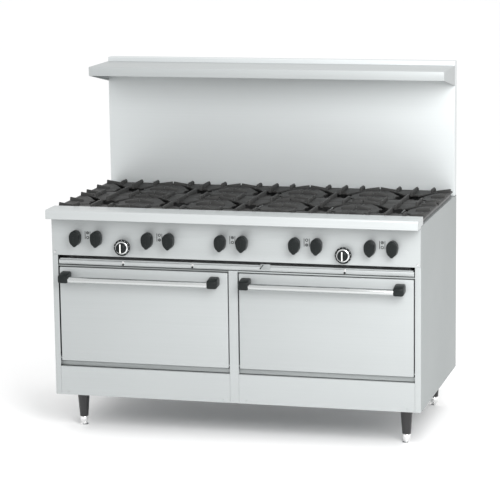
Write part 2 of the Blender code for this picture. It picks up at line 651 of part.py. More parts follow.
def burner_pair(name, x):
    """The front and rear burners of a section, with the venturi tubes that feed them."""
    top = DECK - BURNER_BELOW
    low = top - BURNER_HEIGHT
    head = [(0, low), (BURNER_RADIUS * 0.6, low), (BURNER_RADIUS, low + BURNER_HEIGHT / 2),
            (BURNER_RADIUS, top), (0, top)]
    heads = together([moved(turned(head, 14), Matrix.Translation((x, GRATES_MIDDLE + sign * GRATE_SHIFT, 0)))
                      for sign in (-1, 1)])
    start = BOX_FRONT + 2 * LEDGE
    tubes = together([rod((x + sign * VENTURI_SPREAD, start, low),
                          (x + sign * VENTURI_SPREAD, GRATES_MIDDLE - sign * GRATE_SHIFT, low), VENTURI, 8)
                      for sign in (-1, 1)])
    node(name, CAST_IRON, heads, joined=[tubes])


def gas_manifold():
    """The gas pipe behind the controls with its valve bodies, and the run back to the rear inlet."""
    left = section_x(0) - KNOB_SPREAD - 3 * PIPE_RADIUS
    past = PIPE_RADIUS + SHEET
    across = rod((left, PIPE_Y, KNOB_Z), (INLET_X, PIPE_Y, KNOB_Z), PIPE_RADIUS, 12)
    down = rod((INLET_X, PIPE_Y, KNOB_Z + past), (INLET_X, PIPE_Y, INLET_Z - past), PIPE_RADIUS - GAP / 2, 12)
    back = rod((INLET_X, PIPE_Y - PIPE_RADIUS / 2, INLET_Z), (INLET_X, REAR - GAP, INLET_Z), PIPE_RADIUS, 12)
    valves = together([block((x - VALVE / 2, PIPE_Y, KNOB_Z - VALVE / 2),
                             (x + VALVE / 2, BOX_FRONT - SHEET, KNOB_Z + VALVE / 2)) for x in knob_places()])
    bore = rod((INLET_X, REAR - INLET_BORE_DEPTH, INLET_Z), (INLET_X, REAR + SHEET, INLET_Z), INLET_BORE, 12)
    node("gas_manifold", PIPE_STEEL, across, joined=[down, back, valves], cut=[bore])


# ---- controls -------------------------------------------------------------

def knob_places():
    return [section_x(number) + sign * KNOB_SPREAD for number in range(SECTIONS) for sign in (-1, 1)]


def dial_places():
    return [-1.5 * PITCH, 1.5 * PITCH]


def egg(scale):
    """An upright egg with a rounded pointer tip at its foot, as (x, z) points."""
    points = []
    for x, z in arc((0, 0), KNOB_RADIUS, 0, 360 - 360 / KNOB_POINTS, KNOB_POINTS - 1):
        z *= KNOB_CROWN if z > 0 else KNOB_FALL
        if z < 0 and abs(x) < KNOB_TIP:
            z = min(z, KNOB_TIP - KNOB_NOSE - math.sqrt(KNOB_TIP ** 2 - x ** 2))
        points.append((x * scale, z * scale))
    return points


def burner_knob(name, x):
    """A moulded knob with its pointer down at off, and the stem that turns with it."""
    back = FRONT - KNOB_OFF_PANEL
    stem_end = PIPE_Y - PIPE_RADIUS - 4 * GAP
    circle = arc((0, 0), STEM, 0, 360 - 360 / KNOB_POINTS, KNOB_POINTS - 1)
    levels = [(circle, stem_end), (circle, back), (egg(1), back), (egg(0.95), back - KNOB_DEPTH * 0.8),
              (egg(0.75), back - KNOB_DEPTH)]
    shape = lofted([[(x + px, y, KNOB_Z + pz) for px, pz in outline] for outline, y in levels])
    node(name, BLACK_PLASTIC, shape, origin=(x, back, KNOB_Z), smooth=True)


def thermostat_dial(name, x):
    """A dial with its skirt, its ring and its grip, and the stem that turns with them."""
    back = FRONT - DIAL_OFF_PANEL
    ring_low, ring_high = DIAL_RING
    shape = turned([(0, -STEM_LENGTH), (STEM, -STEM_LENGTH), (STEM, 0), (DIAL_SKIRT, 0),
                    (DIAL_SKIRT, ring_low), (DIAL_RADIUS, ring_low), (DIAL_RADIUS, ring_high),
                    (DIAL_GRIP, ring_high + 2 * SHEET),
                    (DIAL_GRIP - SHEET, DIAL_DEPTH), (0, DIAL_DEPTH)], 18)
    shape = moved(shape, Matrix.Translation((x, back, DIAL_Z)) @ Matrix.Rotation(math.pi / 2, 4, "X"))
    node(name, BLACK_PLASTIC, shape, origin=(x, back, DIAL_Z), smooth=True)


# ---- the whole range ------------------------------------------------------

def build():
    body_frame()
    side_panel("side_panel_left", -1)
    side_panel("side_panel_right", 1)
    control_panel()
    front_rail()
    kick_panel("kick_panel_left", -1)
    kick_panel("kick_panel_right", 1)
    backguard()
    high_shelf()
    crumb_tray()
    gas_manifold()
    for word, side in (("left", -1), ("right", 1)):
        x = side * (HALF - LEG_INSET_X)
        for place, y in (("front", FRONT + LEG_FRONT), ("rear", REAR - LEG_REAR)):
            leg(f"leg_{place}_{word}", x, y)
            foot(f"foot_{place}_{word}", x, y)
        door(f"door_{word}", side)
        oven(f"oven_{word}", side)
        oven_rack(f"oven_rack_{word}", side)
    for number in range(SECTIONS):
        x = section_x(number)
        burner_pair(f"burner_pair_{number + 1}", x)
        grate(f"grate_front_{number + 1}", x, GRATES_MIDDLE - GRATE_SHIFT)
        grate(f"grate_rear_{number + 1}", x, GRATES_MIDDLE + GRATE_SHIFT)
    for number, x in enumerate(knob_places()):
        burner_knob(f"burner_knob_{number + 1}", x)
    for word, x in zip(("left", "right"), dial_places()):
        thermostat_dial(f"thermostat_dial_{word}", x)


build()
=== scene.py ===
import json
import math
import bmesh
import bpy
from mathutils import Matrix, Vector


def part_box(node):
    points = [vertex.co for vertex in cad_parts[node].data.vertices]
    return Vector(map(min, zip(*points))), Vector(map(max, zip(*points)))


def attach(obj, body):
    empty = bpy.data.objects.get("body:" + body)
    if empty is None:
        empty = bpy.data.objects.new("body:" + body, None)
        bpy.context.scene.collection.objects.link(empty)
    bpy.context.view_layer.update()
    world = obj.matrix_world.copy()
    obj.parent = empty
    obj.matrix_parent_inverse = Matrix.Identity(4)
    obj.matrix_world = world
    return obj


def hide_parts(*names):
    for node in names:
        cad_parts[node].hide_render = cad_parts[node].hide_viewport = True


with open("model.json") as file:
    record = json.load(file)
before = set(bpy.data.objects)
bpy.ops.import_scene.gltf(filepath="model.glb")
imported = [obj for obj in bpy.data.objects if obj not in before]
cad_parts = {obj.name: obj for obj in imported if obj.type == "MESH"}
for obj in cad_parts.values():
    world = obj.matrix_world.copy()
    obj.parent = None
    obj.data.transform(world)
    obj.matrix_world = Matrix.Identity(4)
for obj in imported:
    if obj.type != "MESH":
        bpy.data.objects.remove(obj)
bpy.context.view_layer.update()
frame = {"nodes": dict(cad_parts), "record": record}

# Commercial gas range. Metres, X to the cook's right, Y to the back, Z up from the floor.

shot = {"place": (2.2825, -8.6625, 2.3406), "azimuth": 14.93, "elevation": 10.35, "roll": -0.742,
        "lens": 160.5}
studio = {"world": 1.08, "worldColour": (1.0, 1.0, 1.0), "floorColour": (0.93, 0.93, 0.93), "floorRough": 0.7,
          "floorSize": 120.0}
lamps = [   # name, place, aim, width, height, watts
    ("keySoftbox", (2.1, -3.3, 2.6), (0.6, 0.0, 0.7), 2.0, 2.0, 145.0),
    ("topSoftbox", (0.6, 0.2, 4.5), (0.2, 0.0, 0.9), 3.0, 3.0, 22.0)]


def cameraAndLight():
    data = bpy.data.cameras.new("studioCamera")
    data.lens = shot["lens"]
    data.clip_end = 200.0
    camera = bpy.data.objects.new("studioCamera", data)
    bpy.context.scene.collection.objects.link(camera)
    a, e = math.radians(shot["azimuth"]), math.radians(shot["elevation"])
    back = Vector((math.sin(a) * math.cos(e), -math.cos(a) * math.cos(e), math.sin(e)))
    upright = (-back).to_track_quat("-Z", "Y").to_matrix().to_4x4()
    roll = Matrix.Rotation(math.radians(shot["roll"]), 4, "Z")
    camera.matrix_world = Matrix.Translation(shot["place"]) @ upright @ roll
    bpy.context.scene.camera = camera
    for name, place, aim, width, height, watts in lamps:
        light = bpy.data.lights.new(name, "AREA")
        light.shape = "RECTANGLE"
        light.size, light.size_y, light.energy = width, height, watts
        lamp = bpy.data.objects.new(name, light)
        bpy.context.scene.collection.objects.link(lamp)
        lamp.location = place
        lamp.rotation_euler = (Vector(aim) - Vector(place)).to_track_quat("-Z", "Y").to_euler()
    world = bpy.data.worlds.new("studioWorld")
    bpy.context.scene.world = world
    world.use_nodes = True
    backdrop = world.node_tree.nodes["Background"]
    backdrop.inputs["Color"].default_value = (*studio["worldColour"], 1.0)
    backdrop.inputs["Strength"].default_value = studio["world"]
    bpy.context.scene.view_settings.view_transform = "Standard"
    floor = bmesh.new()
    bmesh.ops.create_grid(floor, x_segments=1, y_segments=1, size=studio["floorSize"] / 2)
    mesh = bpy.data.meshes.new("studioFloor")
    floor.to_mesh(mesh)
    floor.free()
    ground = bpy.data.objects.new("studioFloor", mesh)
    bpy.context.scene.collection.objects.link(ground)
    paint = bpy.data.materials.new("floorPaint")
    paint.use_nodes = True
    shader = paint.node_tree.nodes["Principled BSDF"]
    shader.inputs["Base Color"].default_value = (*studio["floorColour"], 1.0)
    shader.inputs["Roughness"].default_value = studio["floorRough"]
    mesh.materials.append(paint)


cameraAndLight()
print("stage: camera, lights and floor")

# effects that several materials share


def addNode(tree, kind, inputs=None, **settings):
    made = tree.nodes.new(kind)
    for key, value in settings.items():
        setattr(made, key, value)
    for key, value in (inputs or {}).items():
        if isinstance(value, bpy.types.NodeSocket):
            tree.links.new(value, made.inputs[key])
        else:
            made.inputs[key].default_value = value
    return made


def effectGroup(name, inputs, outputs, build):
    tree = bpy.data.node_groups.new(name, "ShaderNodeTree")
    for label, (kind, value) in inputs.items():
        socket = tree.interface.new_socket(label, in_out="INPUT", socket_type=kind)
        if value is not None:
            socket.default_value = value
    for label, kind in outputs.items():
        tree.interface.new_socket(label, in_out="OUTPUT", socket_type=kind)
    enter = tree.nodes.new("NodeGroupInput")
    leave = tree.nodes.new("NodeGroupOutput")
    for label, socket in build(tree, enter.outputs).items():
        tree.links.new(socket, leave.inputs[label])
    return tree


def noiseNode(tree, place, scale, detail, **values):
    values = {label.replace("_", " "): value for label, value in values.items()}
    return addNode(tree, "ShaderNodeTexNoise", {"Vector": place, "Scale": scale, "Detail": detail, **values})


def rangeNode(tree, value, low, high):   # low becomes 0 and high becomes 1
    return addNode(tree, "ShaderNodeMapRange", {"Value": value, "From Min": low, "From Max": high}).outputs[0]


def mathNode(tree, operation, *values, **settings):
    made = addNode(tree, "ShaderNodeMath", dict(enumerate(values)), operation=operation, **settings)
    return made.outputs[0]


def grainNodes(tree, given):   # fine parallel scratches left by the belt
    stretched = addNode(tree, "ShaderNodeVectorMath", {0: given["Vector"], 1: given["Stretch"]},
                        operation="MULTIPLY").outputs[0]
    fine = noiseNode(tree, stretched, 1.0, 3.0, Roughness=0.7).outputs["Fac"]
    broad = noiseNode(tree, stretched, 0.43, 2.0).outputs["Fac"]
    both = mathNode(tree, "MULTIPLY_ADD", fine, broad, broad)
    return {"Tone": rangeNode(tree, both, 0.35, 1.35), "Height": fine}


def mottleNodes(tree, given):   # broad soft change of tone, as on handled sheet
    cloud = noiseNode(tree, given["Vector"], given["Scale"], 4.0, Roughness=0.55).outputs["Fac"]
    return {"Tone": rangeNode(tree, cloud, 0.32, 0.68)}


def castNodes(tree, given):   # sand-cast skin: pits and lumps
    lumps = noiseNode(tree, given["Vector"], given["Scale"], 5.0, Roughness=0.6).outputs["Fac"]
    pits = addNode(tree, "ShaderNodeTexVoronoi", {"Vector": given["Vector"], "Scale": given["Scale"]})
    height = mathNode(tree, "ADD", lumps, pits.outputs["Distance"])
    return {"Tone": rangeNode(tree, lumps, 0.3, 0.7), "Height": height}


def spangleNodes(tree, given):   # crystals of a zinc coat
    cells = addNode(tree, "ShaderNodeTexVoronoi", {"Vector": given["Vector"], "Scale": given["Scale"]})
    parts = addNode(tree, "ShaderNodeSeparateColor", {"Color": cells.outputs["Color"]})
    return {"Tone": parts.outputs["Red"]}


def speckleNodes(tree, given):   # fired-in flecks
    cells = addNode(tree, "ShaderNodeTexVoronoi", {"Vector": given["Vector"], "Scale": given["Scale"]})
    return {"Mask": rangeNode(tree, cells.outputs["Distance"], given["Size"], 0.0)}


def wearNodes(tree, given):   # rubbed edges, broken up by noise
    bend = addNode(tree, "ShaderNodeNewGeometry").outputs["Pointiness"]
    broken = noiseNode(tree, given["Vector"], 90.0, 3.0).outputs["Fac"]
    mask = mathNode(tree, "MULTIPLY", rangeNode(tree, bend, 0.51, 0.60), broken)
    return {"Mask": mathNode(tree, "MULTIPLY", mask, given["Amount"], use_clamp=True)}


def valueIn(value):
    return ("NodeSocketFloat", value)


vectorIn, valueOut = ("NodeSocketVector", None), "NodeSocketFloat"
stretchIn = ("NodeSocketVector", (3.0, 900.0, 900.0))
toneOut, maskOut = {"Tone": valueOut}, {"Mask": valueOut}
toneHeightOut = {"Tone": valueOut, "Height": valueOut}
scaledIn = {"Vector": vectorIn, "Scale": valueIn(2.0)}
effects = {
    "grain": effectGroup("beltGrain", {"Vector": vectorIn, "Stretch": stretchIn}, toneHeightOut, grainNodes),
    "mottle": effectGroup("softMottle", scaledIn, toneOut, mottleNodes),
    "cast": effectGroup("castSkin", scaledIn, toneHeightOut, castNodes),
    "spangle": effectGroup("zincSpangle", scaledIn, toneOut, spangleNodes),
    "speckle": effectGroup("enamelSpeckle", {**scaledIn, "Size": valueIn(0.3)}, maskOut, speckleNodes),
    "wear": effectGroup("edgeWear", {"Vector": vectorIn, "Amount": valueIn(1.0)}, maskOut, wearNodes)}


def newMaterial(name, metallic=0.0, **constants):
    made = bpy.data.materials.new(name)
    made.use_nodes = True
    shader = made.node_tree.nodes["Principled BSDF"]
    shader.inputs["Metallic"].default_value = metallic
    for label, value in constants.items():
        shader.inputs[label.replace("_", " ")].default_value = value
    place = addNode(made.node_tree, "ShaderNodeTexCoord").outputs["Object"]
    return made, made.node_tree, shader, place


def effect(tree, which, place, **values):
    made = addNode(tree, "ShaderNodeGroup", node_tree=effects[which])
    tree.links.new(place, made.inputs["Vector"])
    for label, value in values.items():
        made.inputs[label].default_value = value
    return made.outputs


def blendColours(tree, factor, first, second):
    made = addNode(tree, "ShaderNodeMix", data_type="RGBA")
    tree.links.new(factor, made.inputs[0])
    for socket, value in ((6, first), (7, second)):
        if isinstance(value, bpy.types.NodeSocket):
            tree.links.new(value, made.inputs[socket])
        else:
            made.inputs[socket].default_value = (*value, 1.0)
    return made.outputs[2]


def blendValues(tree, factor, low, high):
    return addNode(tree, "ShaderNodeMapRange", {"Value": factor, "To Min": low, "To Max": high}).outputs[0]


def bumped(tree, shader, height, strength, distance):
    bump = addNode(tree, "ShaderNodeBump", {"Height": height, "Strength": strength, "Distance": distance})
    tree.links.new(bump.outputs["Normal"], shader.inputs["Normal"])


def sheetSteel(name, light, dark, rough, stretch, metallic=0.42):
    made, tree, shader, place = newMaterial(name, metallic=metallic, Specular_IOR_Level=0.3)
    grain = effect(tree, "grain", place, Stretch=stretch)
    mottle = effect(tree, "mottle", place, Scale=2.3)
    brushed = blendColours(tree, grain["Tone"], dark, light)
    shaded = blendColours(tree, blendValues(tree, mottle["Tone"], 0.0, 0.5), brushed, light)
    tree.links.new(shaded, shader.inputs["Base Color"])
    broad = blendValues(tree, mottle["Tone"], rough - 0.04, rough + 0.05)
    fine = blendValues(tree, grain["Tone"], -0.03, 0.03)
    tree.links.new(mathNode(tree, "ADD", broad, fine), shader.inputs["Roughness"])
    bumped(tree, shader, grain["Height"], 0.04, 0.0002)
    return made


def dippedZinc(name, light, dark, rough):   # spangled hot-dip coat
    made, tree, shader, place = newMaterial(name, metallic=0.7)
    spangle = effect(tree, "spangle", place, Scale=150.0)
    mottle = effect(tree, "mottle", place, Scale=5.0)
    tree.links.new(blendColours(tree, spangle["Tone"], dark, light), shader.inputs["Base Color"])
    tree.links.new(blendValues(tree, mottle["Tone"], rough - 0.06, rough + 0.08), shader.inputs["Roughness"])
    bumped(tree, shader, spangle["Tone"], 0.05, 0.0002)
    return made


def castIron(name, light, dark, rough, metallic, wear):
    made, tree, shader, place = newMaterial(name, metallic=metallic, Specular_IOR_Level=0.25)
    skin = effect(tree, "cast", place, Scale=330.0)
    rubbed = effect(tree, "wear", place, Amount=wear)
    mottle = effect(tree, "mottle", place, Scale=14.0)
    base = blendColours(tree, mottle["Tone"], dark, light)
    grey = tuple(min(1.0, c * 2.4) for c in light)
    tree.links.new(blendColours(tree, rubbed["Mask"], base, grey), shader.inputs["Base Color"])
    tree.links.new(blendValues(tree, skin["Tone"], rough - 0.08, rough + 0.10), shader.inputs["Roughness"])
    bumped(tree, shader, skin["Height"], 0.35, 0.0006)
    return made


def mouldedPlastic(name, colour, rough, sheen):
    made, tree, shader, place = newMaterial(name, Specular_IOR_Level=sheen)
    skin = effect(tree, "cast", place, Scale=1400.0)
    mottle = effect(tree, "mottle", place, Scale=30.0)
    rubbed = effect(tree, "wear", place, Amount=0.6)
    lighter = tuple(c * 1.6 + 0.01 for c in colour)
    base = blendColours(tree, mottle["Tone"], colour, tuple(c * 1.15 for c in colour))
    tree.links.new(blendColours(tree, rubbed["Mask"], base, lighter), shader.inputs["Base Color"])
    tree.links.new(blendValues(tree, mottle["Tone"], rough - 0.05, rough + 0.06), shader.inputs["Roughness"])
    bumped(tree, shader, skin["Height"], 0.12, 0.0002)
    return made


def firedEnamel(name, colour, fleck):
    made, tree, shader, place = newMaterial(name, Coat_Weight=0.4, Coat_Roughness=0.08)
    flecks = effect(tree, "speckle", place, Scale=420.0, Size=0.22)
    mottle = effect(tree, "mottle", place, Scale=6.0)
    tree.links.new(blendColours(tree, flecks["Mask"], colour, fleck), shader.inputs["Base Color"])
    tree.links.new(blendValues(tree, mottle["Tone"], 0.18, 0.32), shader.inputs["Roughness"])
    return made


def platedMetal(name, colour, rough):
    made, tree, shader, place = newMaterial(name, metallic=1.0)
    mottle = effect(tree, "mottle", place, Scale=25.0)
    grain = effect(tree, "grain", place, Stretch=(30.0, 500.0, 500.0))
    dull = tuple(c * 0.9 for c in colour)
    tree.links.new(blendColours(tree, mottle["Tone"], dull, colour), shader.inputs["Base Color"])
    tree.links.new(blendValues(tree, grain["Tone"], rough * 0.8, rough * 1.3), shader.inputs["Roughness"])
    return made


def darkPaint(name, colour, rough):
    made, tree, shader, place = newMaterial(name, Coat_Weight=0.15, Coat_Roughness=0.2)
    skin = effect(tree, "cast", place, Scale=700.0)
    rubbed = effect(tree, "wear", place, Amount=1.0)
    base = blendColours(tree, skin["Tone"], colour, tuple(c * 1.3 for c in colour))
    tree.links.new(blendColours(tree, rubbed["Mask"], base, (0.16, 0.16, 0.16)), shader.inputs["Base Color"])
    tree.links.new(blendValues(tree, skin["Tone"], rough - 0.06, rough + 0.08), shader.inputs["Roughness"])
    bumped(tree, shader, skin["Height"], 0.12, 0.0003)
    return made


alongX, alongY = (2.5, 900.0, 900.0), (900.0, 2.5, 900.0)
finishes = {
    "stainless": sheetSteel("stainlessSheet", (0.412, 0.432, 0.434), (0.383, 0.402, 0.404), 0.50, alongX,
                            0.34),
    "rail": sheetSteel("railSheet", (0.485, 0.507, 0.509), (0.456, 0.477, 0.479), 0.40, alongX),
    # guard: the same stainless made lighter, painted light that lifts the shade under the shelf and the dark
    # grates' reflection
    "guard": sheetSteel("guardSheetPaintedLight", (0.580, 0.607, 0.611), (0.547, 0.572, 0.575), 0.50, alongX, 0.3),
    # side: the same stainless made darker, painted shade for faces turned away from the key lamp
    "side": sheetSteel("sideSheetPaintedShade", (0.312, 0.331, 0.331), (0.290, 0.308, 0.308), 0.48, alongY),
    "galvanised": dippedZinc("galvanisedSheet", (0.372, 0.390, 0.398), (0.322, 0.338, 0.346), 0.45),
    "bar": sheetSteel("polishedTube", (0.56, 0.575, 0.575), (0.50, 0.515, 0.515), 0.22, alongX, 1.0),
    "grate": castIron("grateIron", (0.036, 0.036, 0.035), (0.022, 0.022, 0.022), 0.58, 0.1, 0.45),
    "burner": castIron("burnerIron", (0.085, 0.080, 0.076), (0.050, 0.048, 0.046), 0.68, 0.2, 0.6),
    "plastic": mouldedPlastic("blackMoulding", (0.008, 0.010, 0.010), 0.34, 0.16),
    "enamel": firedEnamel("ovenEnamel", (0.022, 0.024, 0.030), (0.22, 0.23, 0.25)),
    "boxEnamel": darkPaint("burnerBoxEnamel", (0.022, 0.022, 0.023), 0.42),
    "chrome": platedMetal("brightPlate", (0.88, 0.88, 0.88), 0.10),
    "dialRing": platedMetal("dialRing", (0.62, 0.63, 0.63), 0.24),
    "zinc": platedMetal("zincPlate", (0.72, 0.72, 0.72), 0.26),
    "legPaint": darkPaint("legPaint", (0.012, 0.012, 0.013), 0.30),
    "pipe": darkPaint("blackPipe", (0.035, 0.035, 0.036), 0.55),
    "mark": mouldedPlastic("etchedMark", (0.020, 0.022, 0.022), 0.55, 0.3),
    "pointer": mouldedPlastic("pointerInlay", (0.80, 0.80, 0.78), 0.40, 0.4),
    "gasket": mouldedPlastic("gasketRope", (0.030, 0.030, 0.030), 0.85, 0.1)}
print("stage: materials")

# shapes that several pieces share


def newPiece(name, shape, body, finish, replaced=(), smooth=32):
    mesh = bpy.data.meshes.new(name)
    shape.to_mesh(mesh)
    shape.free()
    piece = bpy.data.objects.new(name, mesh)
    bpy.context.scene.collection.objects.link(piece)
    mesh.materials.append(finishes[finish])
    mesh.shade_smooth()
    mesh.set_sharp_from_angle(angle=math.radians(smooth))
    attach(piece, body)
    if replaced:
        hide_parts(*replaced)
    return piece


def joined(*shapes):   # several shapes as one mesh
    whole = bmesh.new()
    for shape in shapes:
        scratch = bpy.data.meshes.new("scratch")
        shape.to_mesh(scratch)
        shape.free()
        whole.from_mesh(scratch)
        bpy.data.meshes.remove(scratch)
    return whole


def newVerts(made):   # the vertices that an extrude has added
    return [item for item in made["geom"] if isinstance(item, bmesh.types.BMVert)]


def turnedOver(shape):   # faces out again after a mirror or a spin
    bmesh.ops.remove_doubles(shape, verts=shape.verts, dist=1e-6)
    bmesh.ops.recalc_face_normals(shape, faces=shape.faces)
    return shape


def sharpEdges(shape, angle=30):
    return [e for e in shape.edges if len(e.link_faces) == 2 and e.calc_face_angle(0) > math.radians(angle)]


def softened(shape, width, segments=2, edges=None):
    edges = sharpEdges(shape) if edges is None else edges
    bmesh.ops.bevel(shape, geom=edges, offset=width, segments=segments, profile=0.5, affect="EDGES",
                    clamp_overlap=True, material=-1)
    return shape


def blockShape(low, high, bevel=0.0, segments=2):
    shape = bmesh.new()
    size = [high[i] - low[i] for i in range(3)]
    middle = [(high[i] + low[i]) / 2 for i in range(3)]
    bmesh.ops.create_cube(shape, size=1.0, matrix=Matrix.Translation(middle) @ Matrix.Diagonal((*size, 1.0)))
    if bevel:
        softened(shape, bevel, segments)
    return shape


def rodShape(start, end, radius, sides=24, bevel=0.0):
    shape = bmesh.new()
    along = Vector(end) - Vector(start)
    turn = along.to_track_quat("Z", "Y").to_matrix().to_4x4()
    place = Matrix.Translation((Vector(start) + Vector(end)) / 2) @ turn
    bmesh.ops.create_cone(shape, cap_ends=True, segments=sides, radius1=radius, radius2=radius,
                          depth=along.length, matrix=place)
    if bevel:
        softened(shape, bevel, 2, sharpEdges(shape, 60))
    return shape


def spunShape(profile, place=Matrix(), sides=40):   # profile of (radius, height), spun about Z
    shape = bmesh.new()
    points = [shape.verts.new((radius, 0.0, height)) for radius, height in profile]
    lines = [shape.edges.new(pair) for pair in zip(points, points[1:])]
    bmesh.ops.spin(shape, geom=points + lines, cent=(0, 0, 0), axis=(0, 0, 1), dvec=(0, 0, 0),
                   angle=2 * math.pi, steps=sides, use_merge=True, use_duplicate=False)
    turnedOver(shape)
    shape.transform(place)
    return shape


def facingFront(x, y, z):   # a spun shape's Z axis turned to point out of the front
    return Matrix.Translation((x, y, z)) @ Matrix.Rotation(math.pi / 2, 4, "X")


def prismShape(outline, low, high):   # closed (y, z) outline carried along X
    shape = bmesh.new()
    face = shape.faces.new([shape.verts.new((low, y, z)) for y, z in outline])
    made = bmesh.ops.extrude_face_region(shape, geom=[face])
    bmesh.ops.translate(shape, verts=newVerts(made), vec=(high - low, 0, 0))
    bmesh.ops.recalc_face_normals(shape, faces=shape.faces)
    return shape


def openSheet(shape, openings, thickness, bend):   # a block made into bent sheet, open where told
    softened(shape, bend, 3)
    gone = [f for f in shape.faces if any(test(f) for test in openings)]
    bmesh.ops.delete(shape, geom=gone, context="FACES")
    bmesh.ops.solidify(shape, geom=shape.faces[:], thickness=thickness)
    return shape


def facing(axis, sign):   # picks the faces that look one way
    def test(face):
        return face.normal[axis] * sign > 0.9
    return test


def arcPoints(centre, radius, start, end, steps):
    turns = [math.radians(start + (end - start) * i / steps) for i in range(steps + 1)]
    return [(centre[0] + radius * math.cos(t), centre[1] + radius * math.sin(t)) for t in turns]


def softCopy(node, width, segments=2):   # a CAD node's own shape with its edges eased
    shape = bmesh.new()
    shape.from_mesh(frame["nodes"][node].data)
    bmesh.ops.remove_doubles(shape, verts=shape.verts, dist=2e-6)
    bmesh.ops.dissolve_limit(shape, angle_limit=math.radians(0.5), verts=shape.verts, edges=shape.edges)
    return softened(shape, width, segments)


toFront = Matrix.Rotation(math.pi / 2, 4, "X")


def screwHeads(places, radius, turn=toFront):   # pan heads with a hollow middle
    heads = []
    share = [(0, 0), (1, 0), (1, 0.25), (0.8, 0.5), (0.3, 0.62), (0, 0.35)]
    profile = [(radius * across, radius * up) for across, up in share]
    for place in places:
        heads.append(spunShape(profile, Matrix.Translation(place) @ turn, 14))
    return joined(*heads)


panelLow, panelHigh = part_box("control_panel")
guardLow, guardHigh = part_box("backguard")
sideLow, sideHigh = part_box("side_panel_right")
trayLow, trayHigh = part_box("crumb_tray")
front, rear, half = sideLow.y, sideHigh.y, sideHigh.x
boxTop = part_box("body_frame")[1].z   # where the grates stand
sheet, fit = 0.0015, 0.0003   # the steel's thickness, and the small gaps between pieces
words = {"left": -1, "right": 1}


def foldedSheet(corners, folds, thickness, bend):   # one flat face with flanges folded off its edges
    shape = bmesh.new()
    points = [shape.verts.new(corner) for corner in corners]
    shape.faces.new(points)
    for start, reach in folds:
        edge = shape.edges.get((points[start], points[(start + 1) % len(points)]))
        made = bmesh.ops.extrude_edge_only(shape, edges=[edge])
        bmesh.ops.translate(shape, verts=newVerts(made), vec=reach)
    bmesh.ops.remove_doubles(shape, verts=shape.verts, dist=1e-6)
    creases = [e for e in shape.edges if len(e.link_faces) == 2]
    bmesh.ops.bevel(shape, geom=creases, offset=bend, segments=3, profile=0.5, affect="EDGES", material=-1)
    bmesh.ops.recalc_face_normals(shape, faces=shape.faces)
    bmesh.ops.solidify(shape, geom=shape.faces[:], thickness=thickness)
    bmesh.ops.recalc_face_normals(shape, faces=shape.faces)
    return shape


def regionMaterials(piece, finishNames, choose):   # a piece of several finishes, chosen by where a face lies
    for name in finishNames:
        piece.data.materials.append(finishes[name])
    for polygon in piece.data.polygons:
        polygon.material_index = choose(polygon.center, polygon.normal)


welded = {"edge": 0.0004, "coverRoom": 0.0014, "stileHalf": 0.0181, "faceDepth": 0.031, "panTop": 0.16,
          "boxLow": 0.724, "boxHalf": 0.7385, "boxBack": 0.3725}   # the last six say where its finishes meet


def bodyFrame():
    c = welded
    shape = softCopy("body_frame", c["edge"], 1)
    for vert in shape.verts:
        if vert.co.y > rear - 0.0005:
            vert.co.y -= c["coverRoom"]
    piece = newPiece("bodyFrame", shape, "range_body", "galvanised", ["body_frame"])

    def choose(place, normal):
        atFront = place.y < front + c["faceDepth"]
        if abs(place.x) < c["stileHalf"] and atFront and place.z < trayLow.z:
            return 1
        if place.z > c["boxLow"] and abs(place.x) < c["boxHalf"] and place.y < c["boxBack"]:
            return 2
        # front faces above the pan take the darker side copy of the stainless, painted shade
        return 3 if atFront and place.z > c["panTop"] else 0
    regionMaterials(piece, ["stainless", "boxEnamel", "side"], choose)


cover = {"edge": 0.020, "gap": 0.004, "low": 0.175, "split": (0.62, 0.64), "high": 0.872, "thick": 0.0006,
         "columns": 4, "rows": 7, "step": 0.019, "louvreLow": 0.40, "louvre": (0.090, 0.0085),
         "louvreOut": 0.0013, "screw": 0.0030, "screwIn": (0.012, 0.010)}


def rearCovers():   # four plates over the back, with louvres, screwed at their edges
    c, y = cover, rear - welded["coverRoom"]
    plates, louvres, places = [], [], []
    wide, tall = c["louvre"]
    inX, inZ = c["screwIn"]
    for a, b in ((-half + c["edge"], -c["gap"]), (c["gap"], half - c["edge"])):
        for bottom, top in ((c["low"], c["split"][0]), (c["split"][1], c["high"])):
            plates.append(blockShape((a, y, bottom), (b, y + c["thick"], top), 0.0002, 1))
            places += [(x, y + 0.0004, z) for x in (a + inX, (a + b) / 2, b - inX)
                       for z in (bottom + inZ, top - inZ)]
        for column in range(c["columns"]):
            x = a + (b - a) * (column + 0.5) / c["columns"]
            for row in range(c["rows"]):
                z, out = c["louvreLow"] + row * c["step"], y + c["louvreOut"]
                outline = [(y, z), (out, z + 0.0012), (out, z + tall * 0.5), (y, z + tall)]
                louvres.append(prismShape(outline, x - wide / 2, x + wide / 2))
    newPiece("rearCovers", joined(*plates), "range_body", "galvanised")
    # the louvres take the darker side copy of the stainless, painted shade
    newPiece("rearLouvres", joined(*louvres), "range_body", "side")
    heads = screwHeads(places, c["screw"], Matrix.Rotation(-math.pi / 2, 4, "X"))
    for vert in heads.verts:
        vert.co.y = min(vert.co.y, rear - 0.0001)
    newPiece("rearScrews", heads, "range_body", "zinc")


kick = {"return": 0.015, "bend": 0.0020, "screw": 0.0035, "screwIn": (0.03, 0.012)}


def kickPanels():
    inX, inZ = kick["screwIn"]
    for word in words:
        low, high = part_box(f"kick_panel_{word}")
        outline = ((low.x, low.z), (high.x, low.z), (high.x, high.z), (low.x, high.z))
        corners, folds = [(x, front, z) for x, z in outline], [(2, (0, kick["return"] - sheet, 0))]
        face = foldedSheet(corners, folds, sheet, kick["bend"])
        places = [(x, front - 0.0002, low.z + inZ) for x in (low.x + inX, high.x - inX)]
        screws = screwHeads(places, kick["screw"])
        newPiece(f"kickPanel_{word}", joined(face, screws), "range_body", "stainless",
                 [f"kick_panel_{word}"])


side = {"flange": 0.0235, "topFlange": 0.012, "topFrom": -0.322, "bend": 0.0022}


